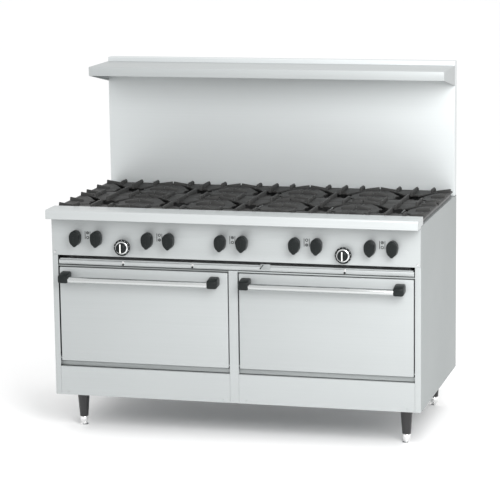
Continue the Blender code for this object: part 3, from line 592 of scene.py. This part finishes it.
def sidePanels():   # a front flange beside the doors, and a top flange behind the rail
    top, back = sideHigh.z, guardLow.y

    # faces that look out of the front take the stainless; all other faces keep the darker side copy, painted
    # shade
    def choose(place, normal):
        return 1 if normal.y < -0.7 and place.y < front + 0.003 else 0
    for word, sign in words.items():
        outline = [(front, sideLow.z), (front, panelLow.z - fit), (front, top), (side["topFrom"], top),
                   (back, top), (rear, top), (rear, sideLow.z)]
        folds = [(0, (-sign * side["flange"], 0, 0)), (3, (-sign * side["topFlange"], 0, 0))]
        skin = foldedSheet([(sign * half, y, z) for y, z in outline], folds, sheet, side["bend"])
        piece = newPiece(f"sidePanel_{word}", skin, "range_body", "side",
                         [f"side_panel_{word}"])
        regionMaterials(piece, ["stainless"], choose)


rail = {"nose": 0.008, "endBevel": 0.0022, "lip": 0.018, "screw": 0.0035, "screws": (-0.6, -0.3, 0, 0.3, 0.6)}


def frontRail():   # sheet with a round upper nose, open underneath and at the back
    low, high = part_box("front_rail")
    stepY, stepZ, lipEnd = front - sheet, sideHigh.z + fit, low.y + rail["lip"]
    outline = [(low.y, low.z + 0.002), (low.y, low.z + 0.006)]
    outline += arcPoints((low.y + rail["nose"], high.z - rail["nose"]), rail["nose"], 180, 90, 8)
    outline += [(high.y, high.z), (high.y, stepZ), (stepY, stepZ), (stepY, low.z), (lipEnd, low.z),
                (low.y + 0.002, low.z)]
    shape = prismShape(outline, low.x, high.x)
    ends = [e for e in shape.edges if all(abs(abs(v.co.x) - high.x) < 1e-6 for v in e.verts)]
    softened(shape, rail["endBevel"], 3, ends)

    def under(middle):
        return middle.y > lipEnd and middle.z < stepZ - 0.001 and abs(middle.x) < half - 0.01
    gone = [f for f in shape.faces if f.normal.z < -0.9 and under(f.calc_center_median())]
    bmesh.ops.delete(shape, geom=gone, context="FACES")
    bmesh.ops.solidify(shape, geom=shape.faces[:], thickness=sheet)
    newPiece("frontRail", shape, "range_body", "rail", ["front_rail"])
    heads = screwHeads([(x, front - 0.0002, panelHigh.z - 0.006) for x in rail["screws"]], rail["screw"])
    newPiece("railScrews", heads, "range_body", "zinc")


panel = {"edge": 0.0003, "lowerEdge": 0.0012, "screw": 0.0042, "screwIn": 0.012, "collarHole": 0.0052,
         "collarRadius": 0.0105, "collarHeight": 0.0018}


def stemPlace(node):   # a place on the axis that a knob, a dial or a door turns on
    body = next(j for j in frame["record"]["behaviour"]["joints"] if j["child"] == node)
    return Vector(body["pos_m"])


knobNames = [f"burner_knob_{number}" for number in range(1, 11)]


def controlPanel():
    c = panel
    shape = softCopy("control_panel", c["edge"], 1)
    lower = [e for e in shape.edges if e.calc_length() > 0.1
             and all(v.co.y < front + 0.0004 and v.co.z < panelLow.z + 0.0004 for v in e.verts)]
    softened(shape, c["lowerEdge"], 3, lower)
    newPiece("controlPanel", shape, "range_body", "stainless", ["control_panel"])
    hole, radius, rise = c["collarHole"], c["collarRadius"], c["collarHeight"]
    ring = [(hole, 0), (radius, 0), (radius, rise * 0.5), (radius - 0.0012, rise), (hole + 0.0010, rise),
            (hole, rise * 0.6), (hole, 0)]
    places = [stemPlace(name) for name in knobNames]
    collars = [spunShape(ring, facingFront(place.x, front - 0.0001, place.z), 32) for place in places]
    newPiece("stemCollars", joined(*collars), "range_body", "zinc")
    corners = [(sign * (half - c["screwIn"]), front - 0.0002, panelLow.z + c["screwIn"]) for sign in (-1, 1)]
    newPiece("panelScrews", screwHeads(corners, c["screw"]), "range_body", "zinc")


mark = {"ring": 0.0062, "stroke": 0.0027, "dot": 0.0026, "raise": 0.0003, "rise": 0.004, "half": 0.0095,
        "barOut": 0.0042, "barHalf": 0.0013, "barShort": 0.003}


def burnerMarks():   # beside each pair of knobs: one burner behind the other, in outline
    c, y, shapes = mark, front - 0.0001, []
    inner, up = c["ring"] - c["stroke"], c["raise"]
    ring = [(inner, 0), (c["ring"], 0), (c["ring"], up), (inner, up), (inner, 0)]
    dot = [(0, 0), (c["dot"], 0), (c["dot"], up), (0, up)]
    reach = 2 * c["half"]
    for number in range(0, 10, 2):
        left, right = stemPlace(knobNames[number]), stemPlace(knobNames[number + 1])
        x, z = (left.x + right.x) / 2, left.z + c["rise"]
        for offset, solid in ((c["half"], number % 4 == 0), (-c["half"], number % 4 != 0)):
            shapes.append(spunShape(ring, facingFront(x, y, z + offset), 24))
            if solid:
                shapes.append(spunShape(dot, facingFront(x, y, z + offset), 20))
        for side in (-1, 1):
            across = x + side * (c["ring"] + c["barOut"])
            shapes.append(blockShape((across - c["barHalf"], y - up, z - reach + c["barShort"]),
                                     (across + c["barHalf"], y, z + reach - c["barShort"])))
    newPiece("burnerMarks", joined(*shapes), "range_body", "mark")


knob = {"radius": 0.0220, "crown": 1.20, "fall": 1.60, "full": 0.80, "nose": 0.041, "tip": 0.0085,
        "stem": 0.004, "ridgeWidth": 0.0080, "ridgeEase": 0.0018, "ridgeTaper": (0.62, 0.88),
        "levels": [   # size, height off the panel side, and how far down the tip reaches
            (0.985, 0.0, 0.0350), (1.0, 0.0010, 0.0352), (1.0, 0.012, 0.0355), (0.99, 0.018, 0.0395),
            (0.985, 0.024, 0.0395), (0.975, 0.029, 0.0395), (0.945, 0.0315, 0.0388), (0.89, 0.0330, 0.0372),
            (0.80, 0.0335, 0.0350)]}


def eggPoints(scale, nose):   # round above, longer and fuller below, with a small round tip
    points, tip, radius = [], knob["tip"] * scale, knob["radius"]
    for x, z in arcPoints((0, 0), radius, 0, 352.5, 47):
        if z < 0:
            x, z = (math.copysign(abs(v / radius) ** knob["full"], v) * radius for v in (x, z))
        x, z = x * scale, z * scale * (knob["crown"] if z > 0 else knob["fall"])
        if z < 0 and abs(x) < tip:
            z = min(z, tip - nose - math.sqrt(tip ** 2 - x ** 2))
        points.append((x, z))
    return points


def burnerKnobs():   # an egg-shaped skirt with a grip ridge, on its valve stem
    width, rise, fall = knob["ridgeWidth"], knob["radius"] * knob["crown"] * 0.55, knob["nose"] * 0.58
    narrow, short = knob["ridgeTaper"]
    for number, name in enumerate(knobNames, 1):
        x, base, z = stemPlace(name)
        low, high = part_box(name)
        shape, loops = bmesh.new(), []
        for scale, out, nose in knob["levels"]:
            points = [(x + across, base - out, z + up) for across, up in eggPoints(scale, nose)]
            loop = [shape.verts.new(point) for point in points]
            loops.append([shape.edges.new(pair) for pair in zip(loop, loop[1:] + loop[:1])])
        for lower, upper in zip(loops, loops[1:]):
            bmesh.ops.bridge_loops(shape, edges=lower + upper)
        for end in (loops[0], loops[-1]):
            bmesh.ops.edgeloop_fill(shape, edges=end)
        bmesh.ops.recalc_face_normals(shape, faces=shape.faces)
        ridge = blockShape((x - width / 2, low.y + 0.0002, z - fall), (x + width / 2, base - 0.031, z + rise))
        for vert in ridge.verts:
            if vert.co.y < low.y + 0.001:
                vert.co.x = x + (vert.co.x - x) * narrow
                vert.co.z = z + (vert.co.z - z) * short
        softened(ridge, knob["ridgeEase"], 3)
        stem = rodShape((x, high.y, z), (x, base - 0.001, z), knob["stem"], 20)
        whole = joined(shape, ridge, stem)
        newPiece(f"burnerKnob_{number}", whole, name, "plastic", [name], 40)


dial = {"skirt": 0.028, "grip": 0.0200, "ticks": 11, "sweep": 270, "pointer": (0.0022, 0.0175, 0.0030)}


def thermostatDials():   # a black skirt, a polished ring and a black grip with an inlaid pointer
    grip, (thin, long, deep) = dial["grip"], dial["pointer"]
    for word in words:
        name = f"thermostat_dial_{word}"
        place = stemPlace(name)
        low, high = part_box(name)
        radius, depth = (high.x - low.x) / 2, place.y - low.y
        turn = facingFront(*place)
        skirt = [(0, -0.0118), (0.004, -0.0118), (0.004, 0), (dial["skirt"], 0), (dial["skirt"], 0.018),
                 (radius - 0.001, 0.018), (radius, 0.019), (radius, 0.0228), (radius - 0.0015, 0.0240),
                 (0.0275, 0.0244), (0, 0.0244)]
        ring = [(0.0205, 0.0242), (0.0262, 0.0242), (0.0270, 0.0247), (0.0268, 0.0262), (0.0244, 0.0285),
                (0.0212, 0.0292), (0.0205, 0.0288), (0.0205, 0.0242)]
        cap = [(0, 0.024), (grip, 0.024), (grip, 0.0400), (grip - 0.0012, 0.0425),
               (grip - 0.0050, depth - 0.0014), (0.0080, depth - 0.0004), (0, depth - 0.0004)]
        pointer = blockShape((-thin, -long, depth - deep), (thin, long, depth), 0.0006)
        pointer.transform(turn)
        ticks = []
        for number in range(dial["ticks"]):
            angle = -45 + dial["sweep"] * number / (dial["ticks"] - 1)
            tick = blockShape((0.0296, -0.0005, 0.0238), (0.0318, 0.0005, 0.0243))
            tick.transform(turn @ Matrix.Rotation(math.radians(angle), 4, "Z"))
            ticks.append(tick)
        newPiece(f"dialSkirt_{word}", spunShape(skirt, turn, 64), name, "plastic", [name], 40)
        newPiece(f"dialRing_{word}", spunShape(ring, turn, 64), name, "dialRing", smooth=40)
        newPiece(f"dialGrip_{word}", spunShape(cap, turn, 48), name, "plastic", smooth=40)
        newPiece(f"dialPointer_{word}", joined(pointer, *ticks), name, "pointer")


door = {"bend": 0.0030, "pin": 0.004, "linerEdge": 0.0012, "screw": 0.0035, "screwIn": 0.012,
        "bracketEase": 0.0075, "bracketFall": 0.0105, "bracketRise": 0.005, "barEnd": 0.0025,
        "gasket": 0.0035, "gasketIn": (0.032, 0.024), "gasketTurn": 0.012}


def doors():
    c = door
    for word in words:
        body = f"door_{word}"
        low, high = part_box(f"{body}_liner")
        shellLow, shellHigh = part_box(f"{body}_shell")
        hinge = stemPlace(body)
        skin = openSheet(blockShape((low.x, shellLow.y, shellLow.z), (high.x, shellHigh.y, shellHigh.z)),
                         [facing(1, 1)], sheet, c["bend"])
        pins = [rodShape((a, hinge.y, hinge.z), (b, hinge.y, hinge.z), c["pin"], 20, 0.0006)
                for a, b in ((shellLow.x, low.x + sheet), (high.x - sheet, shellHigh.x))]
        newPiece(f"doorShell_{word}", joined(skin, *pins), body, "stainless", [f"{body}_shell"])
        liner = softCopy(f"{body}_liner", c["linerEdge"], 3)
        newPiece(f"doorLiner_{word}", liner, body, "enamel", [f"{body}_liner"])
        gasketRope(word, body, low, high, shellHigh.y + 0.0038)
        inset = c["screwIn"]
        places = [(x, low.y + 0.0036, z) for x in (low.x + inset, 0.5 * (low.x + high.x), high.x - inset)
                  for z in (low.z + inset, high.z - inset)]
        heads = screwHeads(places, c["screw"], Matrix.Rotation(-math.pi / 2, 4, "X"))
        newPiece(f"linerScrews_{word}", heads, body, "zinc")
        for end in ("left", "right"):
            node = f"{body}_bracket_{end}"
            a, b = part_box(node)
            outline = [(b.y, b.z), (a.y, b.z - c["bracketFall"]), (a.y, a.z), (b.y, a.z + c["bracketRise"])]
            shape = softened(prismShape(outline, a.x, b.x), c["bracketEase"], 2)
            newPiece(f"handleBracket_{word}_{end}", shape, body, "plastic", [node], 40)
        a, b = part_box(f"{body}_handle_bar")
        y, z, radius = (a.y + b.y) / 2, (a.z + b.z) / 2, (b.z - a.z) / 2
        bar = rodShape((a.x, y, z), (b.x, y, z), radius, 48, c["barEnd"])
        newPiece(f"handleBar_{word}", bar, body, "bar", [f"{body}_handle_bar"], 40)


def gasketRope(word, body, low, high, y):   # round the liner's flat border, against the oven's face
    (inX, inZ), radius = door["gasketIn"], door["gasketTurn"]
    corners = [(low.x + inX, low.z + inZ), (high.x - inX, low.z + inZ), (high.x - inX, high.z - inZ),
               (low.x + inX, high.z - inZ)]
    path = []
    for i, (x, z) in enumerate(corners):
        centre = (x + (radius if i in (0, 3) else -radius), z + (radius if i in (0, 1) else -radius))
        path += arcPoints(centre, radius, 180 + 90 * i, 270 + 90 * i, 5)
    curve = bpy.data.curves.new(f"gasketPath_{word}", "CURVE")
    curve.dimensions = "3D"
    curve.bevel_depth = door["gasket"]
    curve.bevel_resolution = 3
    spline = curve.splines.new("POLY")
    spline.points.add(len(path) - 1)
    for point, (x, z) in zip(spline.points, path):
        point.co = (x, y, z, 1)
    spline.use_cyclic_u = True
    holder = bpy.data.objects.new(f"gasketPath_{word}", curve)
    shape = bmesh.new()
    shape.from_mesh(holder.to_mesh())
    holder.to_mesh_clear()
    bpy.data.objects.remove(holder)
    newPiece(f"doorGasket_{word}", shape, body, "gasket", smooth=60)


tray = {"edge": 0.0004, "strip": 0.019, "pullRadius": 0.0052, "pullSheet": 0.001,
        "screws": (-0.452, -0.165, 0.45), "screw": 0.0044, "tabHalf": 0.0045, "tabOut": 0.0008,
        "clip": (0.112, 0.152), "hook": (0.110, 0.124)}


def crumbTray():   # the pan, its rolled pull, and the small fittings on its front strip
    c, low, high = tray, trayLow, trayHigh
    stripTop = low.z + c["strip"]
    pan = softCopy("crumb_tray", c["edge"], 1)
    newPiece("crumbTray", pan, "crumb_tray", "stainless", ["crumb_tray"], 40)
    path = arcPoints((front + 0.0085, stripTop), c["pullRadius"], 170, 60, 7)
    shape = bmesh.new()
    points = [shape.verts.new((low.x + 0.004, y, z)) for y, z in path]
    chain = [shape.edges.new(pair) for pair in zip(points, points[1:])]
    made = bmesh.ops.extrude_edge_only(shape, edges=chain)
    bmesh.ops.translate(shape, verts=newVerts(made), vec=(high.x - low.x - 0.008, 0, 0))
    bmesh.ops.recalc_face_normals(shape, faces=shape.faces)
    bmesh.ops.solidify(shape, geom=shape.faces[:], thickness=c["pullSheet"])
    newPiece("trayPull", shape, "crumb_tray", "stainless", smooth=50)
    middle, face = (low.z + stripTop) / 2, front - c["tabOut"]
    heads = screwHeads([(x, front - 0.0014, middle - 0.003) for x in c["screws"]], c["screw"])
    newPiece("stripScrews", heads, "crumb_tray", "plastic")
    tabs = [blockShape((x - c["tabHalf"], face, middle - 0.0075),
                       (x + c["tabHalf"], front + 0.0045, stripTop + 0.0015), 0.001) for x in c["screws"]]
    newPiece("stripTabs", joined(*tabs), "crumb_tray", "zinc")
    (clipStart, clipEnd), (hookStart, hookEnd) = c["clip"], c["hook"]
    clip = blockShape((clipStart, face, middle - 0.0015), (clipEnd, front + 0.004, stripTop + 0.010), 0.0012)
    hook = rodShape((hookStart, front + 0.0008, middle - 0.001), (hookEnd, front + 0.0008, stripTop + 0.008),
                    0.0024, 14, 0.0006)
    # the clip takes the darker side copy of the stainless, painted shade
    newPiece("trayClip", clip, "crumb_tray", "side")
    newPiece("trayHook", hook, "crumb_tray", "plastic")


bodyFrame()
rearCovers()
kickPanels()
sidePanels()
frontRail()
controlPanel()
burnerMarks()
burnerKnobs()
thermostatDials()
doors()
crumbTray()
print("stage: body, controls and doors")


def boolean(shape, tool, operation):
    objects = []
    for one in (shape, tool):
        mesh = bpy.data.meshes.new("scratch")
        one.to_mesh(mesh)
        one.free()
        objects.append(bpy.data.objects.new("scratch", mesh))
        bpy.context.scene.collection.objects.link(objects[-1])
    step = objects[0].modifiers.new("cut", "BOOLEAN")
    step.operation, step.solver, step.object = operation, "EXACT", objects[1]
    made = bmesh.new()
    made.from_object(objects[0], bpy.context.evaluated_depsgraph_get())
    for one in objects:
        bpy.data.meshes.remove(one.data)
    return made


def castBlock(low, high, draft, bevel):   # narrower at the top, as it leaves its mould
    shape = blockShape(low, high)
    middle = ((low[0] + high[0]) / 2, (low[1] + high[1]) / 2)
    for vert in shape.verts:
        if vert.co.z > (low[2] + high[2]) / 2:
            for axis in (0, 1):
                vert.co[axis] += math.copysign(draft, middle[axis] - vert.co[axis])
    return softened(shape, bevel)


grate = {"frame": (0.012, 0.008), "rib": 0.011, "spread": (0.072, 0.135), "ribEnd": 0.060, "intoHole": 0.034,
         "hole": 0.062, "bowlFoot": 0.085, "bowlEdge": 0.034, "drop": 0.005, "sheet": 0.005, "lip": 0.003,
         "slot": (0.040, 0.009), "slotEnd": 0.168, "ribFall": 0.009, "bulb": 0.0088, "draft": 0.0016,
         "bevel": 0.0018}


def grateBowl(halfX, halfY):   # the dished plate round the burner, with a slot to each corner
    c = grate
    under, reach = sheet + fit, math.hypot(halfX, halfY)
    over, bend, deep = under + c["sheet"], min(halfX, halfY) - c["bowlEdge"], under - c["drop"]
    hole, foot, rim = c["hole"], c["bowlFoot"], under - c["drop"] + c["sheet"]
    profile = [(hole, deep), (foot, under - 0.003), (bend, under), (reach, under), (reach, over),
               (bend, over), (foot, under - 0.003 + c["sheet"]), (hole + 0.004, rim), (hole, rim + c["lip"]),
               (hole - 0.0025, rim), (hole, deep)]
    edge = c["frame"][0] * 0.5
    inside = blockShape((-halfX + edge, -halfY + edge, -0.03), (halfX - edge, halfY - edge, 0.03))
    bowl = boolean(spunShape(profile, Matrix(), 48), inside, "INTERSECT")
    (wide, narrow), end, start = c["slot"], c["slotEnd"], hole * 0.6
    outline = [(start, -wide / 2), (end, -narrow / 2)]
    outline += [(end + x, y) for x, y in arcPoints((0, 0), narrow / 2, -90, 90, 6)[1:-1]]
    outline += [(end, narrow / 2), (start, wide / 2)]
    slots = []
    for side in (-1, 1):
        for turn in (0, math.pi):
            slot = bmesh.new()
            face = slot.faces.new([slot.verts.new((x, y, -0.03)) for x, y in outline])
            made = bmesh.ops.extrude_face_region(slot, geom=[face])
            bmesh.ops.translate(slot, verts=newVerts(made), vec=(0, 0, 0.06))
            bmesh.ops.recalc_face_normals(slot, faces=slot.faces)
            slot.transform(Matrix.Rotation(math.atan2(halfY, side * halfX) + turn, 4, "Z"))
            slots.append(slot)
    return boolean(bowl, joined(*slots), "DIFFERENCE")


def grateShape():   # centred on the origin, with its underside at zero height
    c = grate
    low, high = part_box("grate_front_1")
    halfX, halfY, top = (high.x - low.x) / 2, (high.y - low.y) / 2, high.z - boxTop
    wide, half = c["frame"][0], c["rib"] / 2
    acrossX, acrossY = ((-spread, 0, spread) for spread in c["spread"])
    bars, cast = [], (c["draft"], c["bevel"])
    for a, b in (((-halfX, -halfY), (halfX, -halfY + wide)), ((-halfX, halfY - wide), (halfX, halfY)),
                 ((-halfX, -halfY), (-halfX + wide, halfY)), ((halfX - wide, -halfY), (halfX, halfY))):
        bars.append(blockShape((*a, fit), (*b, c["frame"][1]), c["bevel"] * 0.8))
    for sign in (-1, 1):
        for offset in acrossX:
            length = c["ribEnd"] if offset else halfY - c["intoHole"]
            near, far = sorted((sign * (halfY - 0.0004), sign * (halfY - length)))
            bars.append(castBlock((offset - half, near, 0.0006), (offset + half, far, top), *cast))
        for offset in acrossY:
            near, far = sorted((sign * (halfX - 0.0004), sign * (halfX - c["ribEnd"])))
            rib = castBlock((near, offset - half, 0.0006), (far, offset + half, top), *cast)
            for vert in rib.verts:
                if vert.co.z > top * 0.6:
                    vert.co.z -= c["ribFall"] * (halfX - abs(vert.co.x)) / c["ribEnd"]
            bars.append(rib)
    for offset in acrossX:   # the round ends of the rear ribs
        bulb = bmesh.new()
        bmesh.ops.create_uvsphere(bulb, u_segments=18, v_segments=10, radius=c["bulb"])
        bulb.transform(Matrix.Translation((offset, halfY - c["bulb"] - 0.0004, top - c["bulb"])))
        bars.append(bulb)
    return joined(grateBowl(halfX, halfY), *bars)


def grates():
    pattern = grateShape()
    for place in ("front", "rear"):
        for number in range(1, 6):
            name = f"grate_{place}_{number}"
            low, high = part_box(name)
            shape = pattern.copy()
            shape.transform(Matrix.Translation(((low.x + high.x) / 2, (low.y + high.y) / 2, boxTop)))
            newPiece(f"grate{place}{number}", shape, name, "grate", [name], 38)
    pattern.free()


burner = {"radius": 0.045, "height": 0.034, "ports": 28, "cap": 0.026, "tube": 0.012, "spread": 0.024,
          "pilot": 0.003, "pilotDrop": 0.012}


def burnerHead():   # the profile of a round casting with its raised cap
    radius, cap = burner["radius"], burner["cap"]
    return [(0, 0), (radius * 0.6, 0), (radius - 0.002, 0.015), (radius, 0.018), (radius, 0.027),
            (radius - 0.002, 0.029), (radius - 0.006, 0.031), (cap + 0.003, 0.031), (cap, 0.0335),
            (cap - 0.004, 0.0338), (0.012, 0.0325), (0, 0.032)]


def burners():   # two heads on their venturi tubes, one behind the other, with the pilot tube between
    radius, tube = burner["radius"], burner["tube"]
    portLow, portHigh = (radius - 0.003, -0.0018, 0.0185), (radius - 0.0001, 0.0018, 0.0265)
    mouth = [(0.006, 0), (tube, 0), (tube, 0.012), (tube - 0.001, 0.020), (tube - 0.001, 0.034),
             (0.006, 0.034), (0.006, 0)]
    for number in range(1, 6):
        name = f"burner_pair_{number}"
        low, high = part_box(name)
        x, top = (low.x + high.x) / 2, high.z
        base = top - burner["height"]
        shapes, ports = [], []
        for sign in (-1, 1):
            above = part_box(f"grate_{'rear' if sign > 0 else 'front'}_{number}")
            y = (above[0].y + above[1].y) / 2
            middle = Matrix.Translation((x, y, base))
            shapes.append(spunShape(burnerHead(), middle, 40))
            for k in range(burner["ports"]):
                port = blockShape(portLow, portHigh, 0.0006, 1)
                port.transform(middle @ Matrix.Rotation(2 * math.pi * k / burner["ports"], 4, "Z"))
                ports.append(port)
            across = x + sign * burner["spread"]
            start = (across, low.y + 0.030, base)
            shapes.append(rodShape(start, (across, y, base), tube - 0.0008, 24, 0.001))
            turn = Matrix.Translation((across, low.y, base)) @ Matrix.Rotation(-math.pi / 2, 4, "X")
            shapes.append(spunShape(mouth, turn, 28))
        newPiece(f"burnerPair_{number}", joined(*shapes), "range_body", "burner", [name], 38)
        newPiece(f"burnerPorts_{number}", joined(*ports), "range_body", "grate", smooth=38)
        z = top - burner["pilotDrop"]
        pilot = rodShape((x, low.y + 0.01, z), (x, high.y - 0.12, z), burner["pilot"], 14)
        newPiece(f"pilotTube_{number}", pilot, "range_body", "zinc")


pipe = {"radius": 0.01335, "bore": 0.0105, "pitch": 0.0018, "threads": 6, "collar": 0.018,
        "valve": (0.0088, 0.021)}


def manifold():   # the pipe along the front, down and out at the back, with a threaded end and ten valves
    low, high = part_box("gas_manifold")
    knobZ, radius, bore, pitch = stemPlace(knobNames[0]).z, pipe["radius"], pipe["bore"], pipe["pitch"]
    x, y, z = high.x - radius, low.y + radius, low.z + radius
    across = rodShape((low.x, y, knobZ), (x, y, knobZ), radius, 28, 0.0015)
    down = rodShape((x, y, knobZ + radius), (x, y, z - radius), radius - 0.0002, 28, 0.002)
    collar = [(bore, 0), (radius, 0)]
    for turn in range(pipe["threads"]):
        collar += [(radius, 0.001 + pitch * turn), (radius - 0.0007, 0.0019 + pitch * turn)]
    collar += [(radius, 0.0125), (radius, pipe["collar"]), (bore, pipe["collar"]), (bore, 0)]
    inlet = spunShape(collar, facingFront(x, high.y, z), 40)
    back = rodShape((x, y, z), (x, high.y - 0.0175, z), radius, 28)
    shapes = [across, down, inlet, back]
    wide, deep = pipe["valve"]
    for name in knobNames:
        x = stemPlace(name).x
        shapes.append(blockShape((x - wide, y, knobZ - wide), (x + wide, y + deep, knobZ + wide), 0.0015))
    newPiece("gasManifold", joined(*shapes), "range_body", "pipe", ["gas_manifold"], 40)


ovenRack = {"rod": 0.0039, "wire": 0.0024, "wires": 21, "stay": 0.0028, "stays": (0.2, 0.4)}
bulb = {"radius": 0.004, "length": 0.11, "fromWall": 0.014, "clip": (0.012, 0.004, 0.006),
        "clips": (0.03, 0.09)}


def ovens():
    for word, sign in words.items():
        name = f"oven_{word}"
        box = softCopy(name, 0.0005, 1)
        newPiece(f"ovenBox_{word}", box, "range_body", "enamel", [name])
        low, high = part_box(f"oven_rack_{word}")
        r, wire, count, z = ovenRack["rod"], ovenRack["wire"], ovenRack["wires"], (low.z + high.z) / 2
        startX, startY, endX, endY = low.x + r, low.y + r, high.x - r, high.y - r
        corners = [(startX, startY), (endX, startY), (endX, endY), (startX, endY)]
        ends = zip(corners, corners[1:] + corners[:1])
        shapes = [rodShape((*a, z), (*b, z), r, 16, 0.0008) for a, b in ends]
        z = high.z - wire
        for number in range(count):
            x = startX + (high.x - low.x - 2 * r) * (number + 1) / (count + 1)
            shapes.append(rodShape((x, startY, z), (x, endY, z), wire, 10))
        z = low.z + 0.003
        for y in (low.y + stay for stay in ovenRack["stays"]):
            shapes.append(rodShape((startX, y, z), (endX, y, z), ovenRack["stay"], 12))
        rack = joined(*shapes)
        newPiece(f"ovenRack_{word}", rack, "range_body", "chrome", [f"oven_rack_{word}"], 40)
        wall = low.x - 0.004 if sign > 0 else high.x + 0.004
        x, y, z = wall + sign * bulb["fromWall"], high.y - 0.10, high.z + 0.15
        shapes = [rodShape((x, y - bulb["length"], z), (x, y, z), bulb["radius"], 18, 0.0015)]
        reach, wide, rise = bulb["clip"]
        inner, outer = sorted((wall, wall + sign * reach))
        for back in bulb["clips"]:
            shapes.append(blockShape((inner, y - back, z - rise), (outer, y - back + wide, z + rise), 0.0006))
        newPiece(f"thermostatBulb_{word}", joined(*shapes), "range_body", "zinc")


leg = {"plate": 0.003, "top": 0.0255, "bottom": 0.0175, "flare": 0.0030, "stud": 0.0065, "bolt": 0.0045,
       "boltOut": 0.035}
foot = {"top": 0.036, "collar": 0.0158, "stud": 0.0058, "studUp": 0.025}


def legProfile(low, plateZ, high):   # a tapered tube that flares under its plate
    bottom, top = leg["bottom"], leg["top"]
    flare = top + leg["flare"]
    return [(leg["stud"], low), (bottom - 0.001, low), (bottom, low + 0.001), (bottom + 0.0002, low + 0.005),
            (top - 0.0004, high - 0.010), (flare - 0.0005, high - 0.008), (flare, high - 0.0065),
            (flare, plateZ), (leg["stud"], plateZ), (leg["stud"], low)]


def footProfile(wide):   # a round pad, a thin neck, a collar and the stud that goes up into the leg
    neck, top, collar, stud = leg["bottom"] * 0.72, foot["top"], foot["collar"], foot["stud"]
    return [(0, 0), (wide - 0.0012, 0), (wide, 0.0012), (wide, 0.0030), (wide - 0.001, 0.0042),
            (neck + 0.002, 0.0062), (neck, 0.0075), (neck, 0.0108), (collar - 0.0008, 0.0125),
            (collar, 0.0140), (collar, top - 0.0015), (collar - 0.0008, top), (stud, top),
            (stud, top + foot["studUp"]), (0, top + foot["studUp"])]


def legsAndFeet():
    out = leg["boltOut"]
    for place in ("front", "rear"):
        for word in words:
            name = f"leg_{place}_{word}"
            label = f"{place.capitalize()}_{word}"
            low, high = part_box(name)
            x, y = (low.x + high.x) / 2, (low.y + high.y) / 2
            plateZ, middle = high.z - leg["plate"] + 0.0002, Matrix.Translation((x, y, 0))
            plate = blockShape((low.x, low.y, high.z - leg["plate"]), high, 0.001)
            shapes = [plate, spunShape(legProfile(low.z, plateZ, high.z), middle, 56)]
            newPiece(f"leg{label}", joined(*shapes), "range_body", "legPaint", [name], 36)
            corners = [(x + a * out, y + b * out, plateZ) for a in (-1, 1) for b in (-1, 1)]
            heads = screwHeads(corners, leg["bolt"], Matrix.Rotation(math.pi, 4, "X"))
            newPiece(f"legBolts{label}", heads, "range_body", "zinc")
            name = f"foot_{place}_{word}"
            shape = spunShape(footProfile(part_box(name)[1].x - x), middle, 48)
            newPiece(f"foot{label}", shape, name, "chrome", [name], 36)


guard = {"bend": 0.0030, "stays": (-0.42, 0.0, 0.42), "stayHalf": 0.022, "stayEase": 0.0025,
         "flange": (0.030, 0.0082, 0.0012), "tabs": (-0.5, 0.0, 0.5)}
shelf = {"lip": 0.038, "bend": 0.0022, "tabHalf": 0.012, "tabFall": 0.052, "rivet": 0.004,
         "rivets": ((0.372, 1.412), (0.372, 1.362), (0.30, 1.418))}


def backguardAndShelf():   # a sheet open at the back and below with three stays, and the shelf on its gussets
    shape = openSheet(blockShape(guardLow, guardHigh), [facing(2, -1), facing(1, 1)], sheet, guard["bend"])
    # the backguard takes the lighter guard copy of the stainless, painted light
    newPiece("backguardSheet", shape, "range_body", "guard", ["backguard"])
    inside, stays = guardLow.y + sheet, []
    bottom, top = guardLow.z + 0.02, guardHigh.z - 0.003
    broad, (offset, wide, thick) = guard["stayHalf"], guard["flange"]
    for x in guard["stays"]:
        stay = blockShape((x - broad, inside, bottom), (x + broad, rear - 0.003, top), guard["stayEase"])
        stays.append(stay)
        for side in (-1, 1):
            a, b = x + side * offset - wide, x + side * offset + wide
            stays.append(blockShape((a, inside, bottom), (b, inside + thick, top), 0.0004))
    newPiece("guardStays", joined(*stays), "range_body", "galvanised")
    low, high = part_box("high_shelf")
    top, lip, edge = high.z, high.z - shelf["lip"], low.y

    def under(face):
        return face.normal.z < -0.6 or face.normal.y > 0.9
    outline = [(edge, lip), (edge, top), (high.y, top), (high.y, low.z)]
    shape = openSheet(prismShape(outline, -half, half), [under], sheet, shelf["bend"])
    hem = blockShape((-half + 0.004, edge + 0.0012, lip + 0.0005),
                     (half - 0.004, edge + 0.0130, lip + 0.0020), 0.0004)
    newPiece("highShelf", joined(shape, hem), "range_body", "stainless", ["high_shelf"])
    rivets = []
    for sign in (-1, 1):
        places = [(sign * (half - sheet - 0.0002), y, z) for y, z in shelf["rivets"]]
        rivets.append(screwHeads(places, shelf["rivet"], Matrix.Rotation(-sign * math.pi / 2, 4, "Y")))
    newPiece("shelfRivets", joined(*rivets), "range_body", "zinc")
    wide, y, bottom = shelf["tabHalf"], guardLow.y, top - shelf["tabFall"]
    tabs = [blockShape((x - wide, y - 0.0010, bottom), (x + wide, y - 0.0001, top - 0.0016), 0.0003)
            for x in guard["tabs"]]
    newPiece("shelfTabs", joined(*tabs), "range_body", "stainless")


grates()
burners()
manifold()
ovens()
legsAndFeet()
backguardAndShelf()
print("stage: grates, burners, ovens, legs and backguard")

# finishes for the CAD nodes that stay

# side_steel nodes take the darker side copy of the stainless, painted shade
slotFinish = {"stainless": "stainless", "side_steel": "side", "galvanised_steel": "galvanised",
              "grate_iron": "grate", "burner_iron": "burner", "black_plastic": "plastic", "dial": "plastic",
              "foot_metal": "zinc", "leg_black": "legPaint", "bar_steel": "bar", "rack_wire": "chrome",
              "oven_enamel": "enamel", "pipe_steel": "pipe"}
for subpart in frame["record"]["subparts"]:
    mesh = frame["nodes"][subpart["node"]].data
    mesh.materials.clear()
    mesh.materials.append(finishes[slotFinish[subpart["material_slot"]]])
